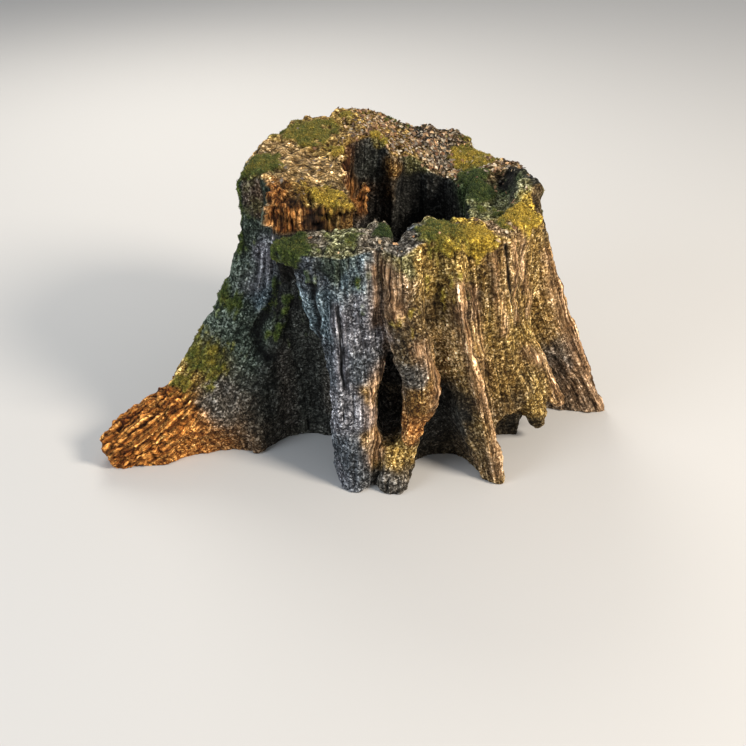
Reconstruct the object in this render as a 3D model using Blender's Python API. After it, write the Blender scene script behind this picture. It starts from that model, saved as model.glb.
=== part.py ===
"""An old hollow tree stump, with its roots cut off at ground level.

One solid of wood: a fluted trunk that spreads into buttress roots, with a sawn front ledge, a higher
block left behind it, a rotted hollow, a split and a hole in the front wall, and caves between the roots.
Metres and degrees, +Z up. The origin is the middle of the trunk at ground level. The front faces -Y.
Azimuths run from +X towards +Y, so the front is at 270.
"""

import math
from typing import NamedTuple

import bpy
import numpy as np
from mathutils import Vector, noise

# Heights of the sawn and broken top, and how far its edges droop
LEDGE_HEIGHT = 0.565
LEDGE_SWAY = 0.008
LEDGE_DROOP = 0.016
SHELF_HEIGHT = 0.545
RIM_DROOP = 0.030
HOLLOW_DROOP = 0.008

# Where each level of the top begins and where it is full, as distances from the axis or along X or Y
LEDGE_DROOP_RADII = (0.27, 0.33)
RIM_DROOP_RADII = (0.295, 0.350)
HOLLOW_DROOP_RADII = (0.26, 0.18)
BLOCK_Y = (-0.190, -0.125)
BLOCK_X = (0.10, 0.02)
REAR_Y = (0.00, 0.05)
REAR_X = (0.02, 0.10)
RIM_RADII = (0.250, 0.282)
RIM_X = (0.12, 0.18)
RIM_Y = (-0.150, -0.075)
SHELF_X = (0.08, 0.12)
SHELF_REAR_Y = (0.100, 0.045)
SHELF_FRONT_Y = (-0.20, -0.16)

# A low ridge on the shelf: its middle, its half widths along X and Y, and its height
RIDGE_PLACE = (0.185, 0.045)
RIDGE_SIZE = (0.022, 0.060)
RIDGE_HEIGHT = 0.030

# Height of the broken rim, by azimuth
RIM_HEIGHTS = {
    0: 0.594, 20: 0.580, 40: 0.560, 53: 0.584, 62: 0.600, 74: 0.620, 88: 0.612, 100: 0.634, 113: 0.658,
    125: 0.648, 150: 0.640, 190: 0.630, 215: 0.622, 300: 0.565, 335: 0.585, 350: 0.600, 360: 0.594,
}

# The trunk's core, which the buttresses stand on, and its fine relief
CORE_TOP_RADIUS = 0.292
CORE_FOOT_RADIUS = 0.262
FILLET_POWER = 22
FLUTES = ((31, 1.0, 0.0035), (19, -1.4, 0.0030))
FLUTE_SWAY = (1.7, 5.0, 2.0)
TOP_BUMPS = ((16, 0.009), (37, 0.005))

# The hollow in the heartwood: its axis, its floor and its outline at the top, as azimuth and radius
HOLLOW_AXIS = (0.022, -0.050)
HOLLOW_FLOOR = 0.085
HOLLOW_BOWL = 0.07
HOLLOW_BELLY = 0.10
HOLLOW_TAPER = 0.30
HOLLOW_FLUTES = ((13, 4, 0.006), (23, -6, 0.004))
HOLLOW_OUTLINE = {
    0: 0.130, 30: 0.152, 55: 0.168, 75: 0.162, 92: 0.156, 101: 0.134, 110: 0.166, 122: 0.186, 135: 0.176,
    150: 0.150, 180: 0.128, 205: 0.135, 228: 0.160, 250: 0.142, 270: 0.136, 290: 0.142, 314: 0.172, 335: 0.145,
    360: 0.130,
}

# Raw heights of the trunk before its top and its foot are cut
LOFT_TOP = 0.70
LOFT_BOTTOM = -0.04
CUT_LID = 0.80
CUT_REACH = 0.90

# Mesh densities
LOFT_SIDES = 480
LOFT_STEP = 0.012
TOP_GRID = 104
HOLLOW_SIDES = 120
HOLLOW_STEP = 0.02
VOXEL = 0.0075
SMOOTHING_ROUNDS = 3
KEPT_SHARE = 0.068


class Buttress(NamedTuple):
    """A rib of the trunk that runs down into a root, from the top to the foot."""

    top_azimuth: float
    foot_azimuth: float
    top_radius: float
    reach: float
    curve: float
    top_width: float
    foot_width: float
    power: float


BUTTRESSES = {
    "left": Buttress(190, 202, 0.334, 0.690, 1.72, 0.115, 0.115, 1.75),
    "left_rear": Buttress(172, 168, 0.328, 0.430, 1.60, 0.130, 0.110, 1.9),
    "front_lip": Buttress(230, 233, 0.378, 0.290, 0.50, 0.130, 0.050, 2.6),
    "front_left": Buttress(246, 255, 0.332, 0.372, 2.00, 0.125, 0.072, 2.6),
    "middle": Buttress(272, 277, 0.326, 0.326, 1.50, 0.080, 0.045, 2.2),
    "front_right": Buttress(292, 305.5, 0.322, 0.415, 1.50, 0.090, 0.070, 1.7),
    "right_body": Buttress(314, 322, 0.334, 0.356, 1.80, 0.120, 0.115, 2.2),
    "right_spike": Buttress(334, 334, 0.342, 0.326, 1.30, 0.110, 0.060, 1.9),
    "right": Buttress(354, 356.5, 0.322, 0.535, 1.32, 0.095, 0.052, 1.6),
    "right_rear": Buttress(24, 30, 0.318, 0.455, 1.70, 0.120, 0.085, 1.7),
    "rear_right": Buttress(60, 66, 0.315, 0.560, 1.85, 0.120, 0.080, 1.6),
    "rear": Buttress(98, 101, 0.320, 0.430, 1.60, 0.125, 0.095, 1.8),
    "rear_left": Buttress(136, 139, 0.325, 0.570, 1.75, 0.125, 0.085, 1.6),
}


def polar(azimuth, radius, height):
    turn = math.radians(azimuth)
    return (radius * math.cos(turn), radius * math.sin(turn), height)


# Parts of the roots that leave the trunk's own outline: points along each limb, and its radius at each
LIMBS = {
    "curled_root": (
        (polar(272, 0.283, 0.44), 0.043), (polar(273.5, 0.286, 0.38), 0.046),
        (polar(276, 0.288, 0.333), 0.050), (polar(279, 0.292, 0.277), 0.048),
        (polar(280.3, 0.300, 0.215), 0.044), (polar(280, 0.308, 0.170), 0.037),
        (polar(277.5, 0.322, 0.137), 0.024), (polar(274.5, 0.336, 0.108), 0.011),
    ),
    "stub": (
        ((-0.003, -0.250, 0.078), 0.028), ((-0.003, -0.312, 0.070), 0.033), ((-0.003, -0.338, 0.030), 0.034),
        ((-0.003, -0.346, -0.030), 0.035),
    ),
    "spike": (
        ((0.222, -0.156, 0.340), 0.046), ((0.290, -0.168, 0.236), 0.037), ((0.338, -0.156, 0.160), 0.026),
        ((0.386, -0.142, 0.086), 0.014),
    ),
    "tooth": (
        ((0.240, -0.178, 0.250), 0.046), ((0.290, -0.188, 0.155), 0.039), ((0.320, -0.174, 0.088), 0.029),
        ((0.342, -0.156, 0.038), 0.015),
    ),
    "left_tip": (
        ((-0.400, -0.150, 0.105), 0.080), ((-0.500, -0.188, 0.080), 0.072), ((-0.580, -0.218, 0.052), 0.062),
        ((-0.646, -0.246, 0.018), 0.042),
    ),
    "right_rear_tip": (
        (polar(31, 0.36, 0.050), 0.044), (polar(32, 0.43, 0.015), 0.034), (polar(34, 0.50, -0.010), 0.019),
    ),
    "rear_right_tip": (
        (polar(67, 0.44, 0.050), 0.052), (polar(68, 0.52, 0.015), 0.040), (polar(70, 0.60, -0.010), 0.022),
    ),
    "rear_left_tip": (
        (polar(140, 0.44, 0.050), 0.052), (polar(141, 0.52, 0.015), 0.040), (polar(143, 0.61, -0.010), 0.022),
    ),
    "left_rear_tip": (
        (polar(167, 0.34, 0.050), 0.049), (polar(168, 0.40, 0.015), 0.038), (polar(170, 0.46, -0.010), 0.021),
    ),
}

# A splinter that stands in the hollow beside the block
SPLINTERS = {
    "shard": (
        ((-0.118, -0.070, 0.400), 0.030), ((-0.088, -0.062, 0.490), 0.020), ((-0.070, -0.055, 0.560), 0.013),
        ((-0.064, -0.050, 0.606), 0.006),
    ),
}

# Cuts into the trunk from outside, from the bottom up: height, azimuth, distance of the back from the
# trunk's axis, half width
NICHES = {
    "left_bay": (
        (-0.06, 229, 0.200, 0.088), (0.10, 229, 0.205, 0.092), (0.19, 229.5, 0.210, 0.096),
        (0.26, 229, 0.225, 0.092), (0.33, 225.5, 0.240, 0.076), (0.40, 222.5, 0.255, 0.058),
        (0.45, 223, 0.268, 0.048), (0.485, 225, 0.290, 0.040), (0.505, 226, 0.325, 0.022),
    ),
    "wall_hole": (
        (0.090, 268.8, 0.155, 0.016), (0.110, 268.6, 0.150, 0.027), (0.145, 267.8, 0.145, 0.030),
        (0.203, 268.0, 0.145, 0.031), (0.250, 268.5, 0.155, 0.024), (0.283, 268.6, 0.200, 0.014),
        (0.305, 267.8, 0.265, 0.008), (0.345, 266.6, 0.285, 0.007), (0.400, 265.6, 0.290, 0.006),
        (0.463, 264.3, 0.298, 0.006), (0.520, 263.4, 0.308, 0.005),
    ),
    "front_cave": (
        (-0.06, 290.5, 0.235, 0.074), (0.00, 290.5, 0.235, 0.074), (0.05, 290.5, 0.240, 0.066),
        (0.10, 289.5, 0.250, 0.050), (0.135, 288.8, 0.258, 0.034), (0.165, 289.5, 0.268, 0.021),
        (0.215, 290.0, 0.275, 0.015), (0.277, 289.0, 0.280, 0.013), (0.333, 286.2, 0.285, 0.011),
        (0.383, 283.0, 0.290, 0.009), (0.435, 281.2, 0.298, 0.007), (0.490, 280.0, 0.308, 0.005),
    ),
    "body_undercut": (
        (-0.06, 322, 0.270, 0.075), (0.03, 322, 0.272, 0.072), (0.07, 322, 0.285, 0.060),
        (0.10, 321, 0.305, 0.040), (0.118, 320, 0.325, 0.018),
    ),
    "right_bay": (
        (-0.06, 349, 0.270, 0.050), (0.05, 349, 0.275, 0.049), (0.12, 348, 0.285, 0.044),
        (0.18, 346, 0.300, 0.032), (0.230, 344, 0.325, 0.014),
    ),
}

# Rounded hollows under and between the roots: centre, radii along, across and up, azimuth
CAVES = {
    "left_undercut": ((-0.430, -0.272, 0.010), (0.130, 0.055, 0.080), 22),
    "rear_bay": (polar(84, 0.400, 0.060), (0.080, 0.060, 0.150), 84),
    "rear_left_bay": (polar(119, 0.400, 0.100), (0.090, 0.065, 0.200), 119),
    "right_rear_bay": (polar(12, 0.390, 0.080), (0.080, 0.055, 0.170), 12),
}

# Narrow gaps in the top: points in plan, each with the height of the gap's floor and its width
CLEFTS = {
    "block_foot": (
        ((-0.275, -0.194), 0.520, 0.020), ((-0.190, -0.196), 0.490, 0.034), ((-0.080, -0.188), 0.460, 0.038),
        ((0.000, -0.150), 0.450, 0.044),
    ),
    "ledge_split": (
        ((0.004, -0.150), 0.420, 0.050), ((0.006, -0.230), 0.460, 0.034), ((-0.002, -0.275), 0.520, 0.018),
        ((-0.030, -0.305), 0.545, 0.010),
    ),
    "shelf_gully": (
        ((0.110, -0.150), 0.460, 0.050), ((0.180, -0.170), 0.490, 0.030), ((0.235, -0.150), 0.535, 0.012),
    ),
}
CLEFT_TOPS = {"block_foot": 0.585, "ledge_split": 0.700, "shelf_gully": 0.610}


def clear_scene():
    for obj in list(bpy.data.objects):
        bpy.data.objects.remove(obj)


def smoothstep(low, high, value):
    t = np.clip((value - low) / (high - low), 0.0, 1.0)
    return t * t * (3.0 - 2.0 * t)


def from_table(table, value):
    return np.interp(value, list(table), list(table.values()))


def mesh_object(name, points, faces, collection):
    mesh = bpy.data.meshes.new(name)
    mesh.from_pydata([tuple(p) for p in points], [], faces)
    mesh.validate()
    obj = bpy.data.objects.new(name, mesh)
    collection.objects.link(obj)
    return obj


def loft(rings):
    """Points and faces of a closed skin over rings of equal counts, listed from the bottom up."""
    count = len(rings[0])
    points = [p for ring in rings for p in ring]
    faces = []
    for level in range(len(rings) - 1):
        low, high = level * count, (level + 1) * count
        for side in range(count):
            after = (side + 1) % count
            faces.append((low + side, low + after, high + after, high + side))
    for level, faces_down in ((0, True), (len(rings) - 1, False)):
        first = level * count
        centre = len(points)
        points.append(tuple(np.mean([points[first + side] for side in range(count)], axis=0)))
        for side in range(count):
            here, after = first + side, first + (side + 1) % count
            faces.append((centre, after, here) if faces_down else (centre, here, after))
    return points, faces


def buttress_radius(rib, azimuth, height):
    """Distance from the trunk's axis to the rib's surface, a superellipse at each height."""
    fall = np.clip(1.0 - height / LEDGE_HEIGHT, 0.0, 1.0)
    crest = rib.top_radius + (rib.reach - rib.top_radius) * fall**rib.curve
    width = rib.top_width + (rib.foot_width - rib.top_width) * fall
    turn = np.radians(azimuth - rib.top_azimuth - (rib.foot_azimuth - rib.top_azimuth) * fall)
    ahead = np.maximum(np.cos(turn), 0.02)
    side = np.abs(np.sin(turn))
    inverse = (ahead / crest) ** rib.power + (side / width) ** rib.power
    return np.where(np.cos(turn) > 0.0, inverse ** (-1.0 / rib.power), 0.0)


def outer_radius(azimuth, height):
    """The outside of the trunk and roots: the core and every rib, blended, with fine flutes."""
    fall = np.clip(1.0 - height / LEDGE_HEIGHT, 0.0, 1.0)
    core = CORE_TOP_RADIUS + (CORE_FOOT_RADIUS - CORE_TOP_RADIUS) * fall
    total = core**FILLET_POWER
    for rib in BUTTRESSES.values():
        total = total + buttress_radius(rib, azimuth, height) ** FILLET_POWER
    turn = np.radians(azimuth)
    amount, rise, twist = FLUTE_SWAY
    sway = amount * np.sin(rise * height + twist * turn)
    flutes = sum(depth * np.sin(count * turn + share * sway) for count, share, depth in FLUTES)
    return total ** (1.0 / FILLET_POWER) + flutes


def trunk(collection):
    azimuths = np.arange(LOFT_SIDES) * 360.0 / LOFT_SIDES
    turn = np.radians(azimuths)
    rings = []
    for height in np.arange(LOFT_BOTTOM, LOFT_TOP + LOFT_STEP, LOFT_STEP):
        radius = outer_radius(azimuths, max(height, 0.0))
        rings.append([(r * c, r * s, height) for r, c, s in zip(radius, np.cos(turn), np.sin(turn))])
    return mesh_object("stump", *loft(rings), collection)


def tube(name, stations, collection, sides=20):
    """A closed tapering limb through stations of a point and a radius."""
    path = [Vector(point) for point, _ in stations]
    rings = []
    for i, (centre, (_, radius)) in enumerate(zip(path, stations)):
        ahead = (path[min(i + 1, len(path) - 1)] - path[max(i - 1, 0)]).normalized()
        reference = Vector((0, 0, 1)) if abs(ahead.z) < 0.9 else Vector((1, 0, 0))
        across = ahead.cross(reference).normalized()
        rise = across.cross(ahead)
        turns = [-math.tau * side / sides for side in range(sides)]
        rings.append([centre + radius * (math.cos(t) * across + math.sin(t) * rise) for t in turns])
    return mesh_object(name, *loft(rings), collection)


def blob(name, centre, radii, azimuth, collection, levels=16, sides=28):
    """A closed ellipsoid. radii are along azimuth, across it, and up."""
    turn = math.radians(azimuth)
    rings = []
    for level in range(1, levels):
        dip = math.pi * level / levels
        ring = []
        for side in range(sides):
            around = math.tau * side / sides
            along = radii[0] * math.sin(dip) * math.cos(around)
            across = radii[1] * math.sin(dip) * math.sin(around)
            x = centre[0] + along * math.cos(turn) - across * math.sin(turn)
            y = centre[1] + along * math.sin(turn) + across * math.cos(turn)
            ring.append((x, y, centre[2] - radii[2] * math.cos(dip)))
        rings.append(ring)
    return mesh_object(name, *loft(rings), collection)


def niche(name, rows, collection, steps=10):
    """A round-backed cut into the trunk from outside."""
    rings = []
    for height, azimuth, back, half in rows:
        turn = math.radians(azimuth)
        outline = [(CUT_REACH, half)]
        for step in range(steps + 1):
            angle = math.pi * (0.5 - step / steps)
            outline.append((back + half - half * math.cos(angle), half * math.sin(angle)))
        outline.append((CUT_REACH, -half))
        ring = []
        for out, across in outline:
            x = out * math.cos(turn) - across * math.sin(turn)
            y = out * math.sin(turn) + across * math.cos(turn)
            ring.append((x, y, height))
        rings.append(ring)
    return mesh_object(name, *loft(rings), collection)


def cleft(name, stations, top, collection):
    """An upright-sided cut along a path in plan, with its own floor height and width at each point."""
    path = [Vector((x, y, 0)) for (x, y), _, _ in stations]
    rings = []
    for i, (centre, (_, floor, width)) in enumerate(zip(path, stations)):
        ahead = (path[min(i + 1, len(path) - 1)] - path[max(i - 1, 0)]).normalized()
        across = Vector((-ahead.y, ahead.x, 0)) * width / 2
        low, high = Vector((0, 0, floor)), Vector((0, 0, top))
        left, right = centre - across, centre + across
        rings.append([left + low, right + low, right + high, left + high])
    return mesh_object(name, *loft(rings), collection)


def top_height(x, y):
    """Height of the sawn and broken top: a low front ledge, a high block behind it, a shelf at the right."""
    radius = np.hypot(x, y)
    rim = from_table(RIM_HEIGHTS, np.degrees(np.arctan2(y, x)) % 360)
    high = rim - RIM_DROOP * smoothstep(*RIM_DROOP_RADII, radius)
    high = high - HOLLOW_DROOP * smoothstep(*HOLLOW_DROOP_RADII, radius)
    ledge = LEDGE_HEIGHT + LEDGE_SWAY * np.sin(9.0 * x + 0.6)
    ledge = ledge - LEDGE_DROOP * smoothstep(*LEDGE_DROOP_RADII, radius)

    slope = np.clip((y - BLOCK_Y[0]) / (BLOCK_Y[1] - BLOCK_Y[0]), 0.0, 1.0)
    block = np.sqrt(slope * (2.0 - slope)) * smoothstep(*BLOCK_X, x)
    height = ledge + (high - ledge) * block
    height = height + (high - height) * smoothstep(*REAR_Y, y) * smoothstep(*REAR_X, x)

    shelf = smoothstep(*reversed(RIM_RADII), radius) * smoothstep(*SHELF_X, x) * smoothstep(*SHELF_REAR_Y, y)
    height = height + (SHELF_HEIGHT - height) * shelf * smoothstep(*SHELF_FRONT_Y, y)
    raised = smoothstep(*RIM_RADII, radius) * smoothstep(*RIM_X, x) * smoothstep(*RIM_Y, y)
    height = height + (rim - height) * raised
    across, along = (x - RIDGE_PLACE[0]) / RIDGE_SIZE[0], (y - RIDGE_PLACE[1]) / RIDGE_SIZE[1]
    return height + RIDGE_HEIGHT * np.exp(-(across**2) - along**2) * shelf


def bumps(x, y):
    """Weathered relief on the top."""
    return sum(rise * noise.noise(Vector((x * scale, y * scale, scale))) for scale, rise in TOP_BUMPS)


def sky_cutter(collection, half=0.42):
    """Everything above the top, as a slab with the top's relief on its underside."""
    line = np.linspace(-half, half, TOP_GRID)
    points = [(x, y, float(top_height(x, y)) + bumps(x, y)) for y in line for x in line]
    lid = len(points)
    points += [(x, y, CUT_LID) for y in line for x in line]
    last = TOP_GRID - 1
    faces = []
    for row in range(last):
        for column in range(last):
            a = row * TOP_GRID + column
            quad = (a, a + 1, a + TOP_GRID + 1, a + TOP_GRID)
            faces.append(tuple(reversed(quad)))
            faces.append(tuple(lid + i for i in quad))
    edge = list(range(last))
    edge += [row * TOP_GRID + last for row in range(last)]
    edge += [last * TOP_GRID + column for column in range(last, 0, -1)]
    edge += [row * TOP_GRID for row in range(last, 0, -1)]
    for here, after in zip(edge, edge[1:] + edge[:1]):
        faces.append((here, after, lid + after, lid + here))
    return mesh_object("above_top", points, faces, collection)


def hollow_radius(azimuths, height):
    outline = from_table(HOLLOW_OUTLINE, azimuths)
    depth = np.clip((LEDGE_HEIGHT - height) / (LEDGE_HEIGHT - HOLLOW_FLOOR), 0.0, 1.0)
    belly = 1.0 + HOLLOW_BELLY * np.sin(np.pi * np.minimum(depth * 1.25, 1.0)) - HOLLOW_TAPER * depth**3
    bowl = np.sqrt(np.clip((height - HOLLOW_FLOOR) / HOLLOW_BOWL, 0.06, 1.0))
    turn = np.radians(azimuths)
    flutes = sum(rise * np.sin(count * turn + twist * height) for count, twist, rise in HOLLOW_FLUTES)
    return (outline * belly + flutes) * bowl


def hollow_cutter(collection):
    azimuths = np.arange(HOLLOW_SIDES) * 360.0 / HOLLOW_SIDES
    turn = np.radians(azimuths)
    bowl = np.linspace(HOLLOW_FLOOR, HOLLOW_FLOOR + HOLLOW_BOWL, 8)
    walls = np.arange(HOLLOW_FLOOR + HOLLOW_BOWL + HOLLOW_STEP, CUT_LID, HOLLOW_STEP)
    rings = []
    for height in [*bowl, *walls]:
        radius = hollow_radius(azimuths, height)
        x = HOLLOW_AXIS[0] + radius * np.cos(turn)
        y = HOLLOW_AXIS[1] + radius * np.sin(turn)
        rings.append([(a, b, height) for a, b in zip(x, y)])
    return mesh_object("hollow", *loft(rings), collection)


def ground_cutter(collection, half=1.0, depth=0.30):
    """The earth, whose surface cuts the roots off level."""
    corners = [(-half, -half), (half, -half), (half, half), (-half, half)]
    rings = [[(x, y, z) for x, y in corners] for z in (-depth, 0.0)]
    return mesh_object("earth", *loft(rings), collection)


def helper_collection(name):
    made = bpy.data.collections.new(name)
    bpy.context.scene.collection.children.link(made)
    return made


def hide_helpers(collection):
    for obj in collection.objects:
        obj.hide_render = True
        obj.display_type = "WIRE"


def boolean(obj, name, operation, collection):
    modifier = obj.modifiers.new(name, "BOOLEAN")
    modifier.operation = operation
    modifier.operand_type = "COLLECTION"
    modifier.collection = collection
    modifier.solver = "EXACT"


def wood_material():
    material = bpy.data.materials.new("weathered_wood")
    material.use_nodes = True
    shader = material.node_tree.nodes["Principled BSDF"]
    shader.inputs["Base Color"].default_value = (0.20, 0.155, 0.085, 1.0)
    shader.inputs["Roughness"].default_value = 0.88
    shader.inputs["Metallic"].default_value = 0.0
    return material


def limbs(collection):
    for name, stations in LIMBS.items():
        tube(name, stations, collection)


def splinters(collection):
    for name, stations in SPLINTERS.items():
        tube(name, stations, collection)


def hollows(collection):
    sky_cutter(collection)
    hollow_cutter(collection)
    for name, rows in NICHES.items():
        niche(name, rows, collection)
    for name, (centre, radii, azimuth) in CAVES.items():
        blob(name, centre, radii, azimuth, collection)
    for name, stations in CLEFTS.items():
        cleft(name, stations, CLEFT_TOPS[name], collection)


def build():
    clear_scene()
    stump = trunk(bpy.context.scene.collection)
    steps = (
        ("add limbs", "UNION", limbs),
        ("cut hollows", "DIFFERENCE", hollows),
        ("add splinters", "UNION", splinters),
        ("cut at ground", "DIFFERENCE", ground_cutter),
    )
    helpers = {}
    for name, _, make in steps:
        helpers[name] = helper_collection(name)
        make(helpers[name])
        hide_helpers(helpers[name])

    for name, operation, _ in steps[:-1]:
        boolean(stump, name, operation, helpers[name])
    skin = stump.modifiers.new("one skin", "REMESH")
    skin.mode = "VOXEL"
    skin.voxel_size = VOXEL
    weather = stump.modifiers.new("weather edges", "SMOOTH")
    weather.factor = 0.5
    weather.iterations = SMOOTHING_ROUNDS
    coarsen = stump.modifiers.new("fewer triangles", "DECIMATE")
    coarsen.ratio = KEPT_SHARE
    name, operation, _ = steps[-1]
    boolean(stump, name, operation, helpers[name])
    stump.data.materials.append(wood_material())


build()
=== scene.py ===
"""The looks of an old hollow tree stump: weathered wood, moss, lichen and crumbs over its solid.

Metres, +Z up, the front faces -Y. The solid's skin is remade finer and gets grain, furrows and cracks that
follow the wood's fibres down into the roots. Named patches give it the wood's colours with painted shade in
its dips, cracks, bays and hollow, and moss and litter lie on it as pieces of their own.
"""

import math
from typing import NamedTuple

import bmesh
import bpy
import numpy as np
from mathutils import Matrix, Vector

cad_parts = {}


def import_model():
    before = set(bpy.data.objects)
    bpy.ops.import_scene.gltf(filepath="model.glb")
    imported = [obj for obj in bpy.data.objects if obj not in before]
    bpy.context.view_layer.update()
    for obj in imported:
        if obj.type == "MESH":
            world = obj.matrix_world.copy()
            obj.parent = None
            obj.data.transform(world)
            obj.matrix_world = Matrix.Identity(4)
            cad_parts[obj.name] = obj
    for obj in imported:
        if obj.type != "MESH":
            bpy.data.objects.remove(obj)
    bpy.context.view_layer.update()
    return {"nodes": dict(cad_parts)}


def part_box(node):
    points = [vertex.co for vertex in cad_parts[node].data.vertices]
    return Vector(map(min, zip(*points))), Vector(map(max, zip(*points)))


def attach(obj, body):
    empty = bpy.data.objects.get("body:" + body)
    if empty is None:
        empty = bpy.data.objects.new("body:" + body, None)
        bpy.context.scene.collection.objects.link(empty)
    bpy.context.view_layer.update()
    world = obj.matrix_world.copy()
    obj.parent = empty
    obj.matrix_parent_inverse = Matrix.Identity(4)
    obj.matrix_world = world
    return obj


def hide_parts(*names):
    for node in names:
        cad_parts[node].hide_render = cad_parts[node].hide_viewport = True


# Camera, as the photograph was taken
CAMERA_PLACE = (-0.047, -2.448, 1.557)
CAMERA_DIP = math.radians(31.0)
CAMERA_WIDTH = math.radians(35.0)
SENSOR_WIDTH = 36.0

# The fine skin: its voxels, the rounds that smooth it, and how low and how far facing down its base is
SKIN_VOXEL = 0.0036
SKIN_SMOOTHING = 9
BASE_HEIGHT = 0.0045
BASE_FACING = -0.6

# The fibres run up along the ribs and limbs to this height
GRAIN_TOP = 0.60
GRAIN_CELL = 0.025
GRAIN_SPREAD = 0.050
GRAIN_SAMPLE = 0.03
GRAIN_UPRIGHT = 0.03
GRAIN_LEAST_RISE = 0.15
GRAIN_STEP = 0.012
GRAIN_SQUASH = 0.05

# On the broken top of the block the fibres lie across, and planks of bare wood show
BLOCK_TOP = (-0.19, 0.00, 0.625)
LYING_REACH = 0.09
LYING_SQUASH = 0.75
PLANK_REACH = 0.07

# Cracks are drawn on the trunk unrolled at this radius, where only this share of a depth counts
UNROLL_RADIUS = 0.33
UNROLL_DEPTH = 0.2

# The middle of the rotted hollow, seen from above
HOLLOW_AXIS = (0.022, -0.050)

# Rounds that even out which way the skin faces, and where each zone begins and is full
ZONE_ROUNDS = 4
TOP_FACING = (0.35, 0.70)
TOP_HEIGHT = (0.515, 0.54)
INNER_FACING = (-0.15, 0.25)
INNER_RADIUS = (0.325, 0.285)
INNER_HEIGHT = (0.0, 0.06)
DEEP_REACH = (0.215, 0.185)
DEEP_RADIUS = (0.26, 0.23)
DEEP_HEIGHT = (0.05, 0.08)
BLOCK_HEIGHT = (0.525, 0.545)
BLOCK_FRONT = (-0.225, -0.210)
BLOCK_SIDE = (0.03, 0.0)
BLOCK_FACING = (0.50, 0.75)
BLOCK_RADIUS = (0.29, 0.27)


def rib(*places):
    """A line up the trunk through places given by azimuth in degrees, radius and height."""
    turns = [math.radians(azimuth) for azimuth, _, _ in places]
    return [(r * math.cos(turn), r * math.sin(turn), z) for turn, (_, r, z) in zip(turns, places)]


# Lines that the fibres follow, from the ground or a limb's tip upwards
FIBRE_LINES = {
    "left root": (
        (-0.646, -0.246, 0.018), (-0.500, -0.188, 0.100), (-0.415, -0.150, 0.230),
        (-0.345, -0.100, 0.390), (-0.320, -0.060, 0.560),
    ),
    "left rear": rib((168, 0.44, 0.0), (169, 0.38, 0.15), (171, 0.34, 0.35), (172, 0.33, 0.56)),
    "front left": rib((255, 0.37, 0.0), (252, 0.345, 0.2), (249, 0.335, 0.4), (246, 0.33, 0.56)),
    "middle": rib(
        (274.5, 0.336, 0.108), (280, 0.310, 0.17), (279, 0.300, 0.277), (273.5, 0.300, 0.38),
        (272, 0.31, 0.56),
    ),
    "front right": rib((305.5, 0.415, 0.0), (303, 0.37, 0.15), (297, 0.34, 0.33), (292, 0.32, 0.56)),
    "right body": rib((322, 0.356, 0.0), (320, 0.345, 0.2), (317, 0.338, 0.4), (314, 0.334, 0.56)),
    "tooth": (
        (0.342, -0.156, 0.038), (0.320, -0.174, 0.088), (0.290, -0.188, 0.155), (0.240, -0.178, 0.250),
    ),
    "spike": (
        (0.386, -0.142, 0.086), (0.338, -0.156, 0.160), (0.290, -0.168, 0.236),
        (0.262, -0.175, 0.340), (0.290, -0.140, 0.560),
    ),
    "right root": rib((356.5, 0.53, 0.0), (356, 0.45, 0.15), (355, 0.38, 0.30), (354, 0.33, 0.56)),
    "right rear": rib((32, 0.50, 0.0), (30, 0.40, 0.1), (27, 0.35, 0.3), (24, 0.32, 0.56)),
    "rear right": rib((69, 0.60, 0.0), (65, 0.45, 0.1), (63, 0.37, 0.28), (60, 0.32, 0.56)),
    "rear": rib((101, 0.43, 0.0), (100, 0.37, 0.15), (98, 0.32, 0.56)),
    "rear left": rib((142, 0.60, 0.0), (139, 0.46, 0.1), (138, 0.38, 0.28), (136, 0.33, 0.56)),
}


class Crease(NamedTuple):
    """A line on the skin that is cut in or stands proud, with pale worn wood along it. A cut-in line also
    gets painted shade inside it.
    """

    depth: float
    width: float
    paleness: float
    points: tuple


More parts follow.
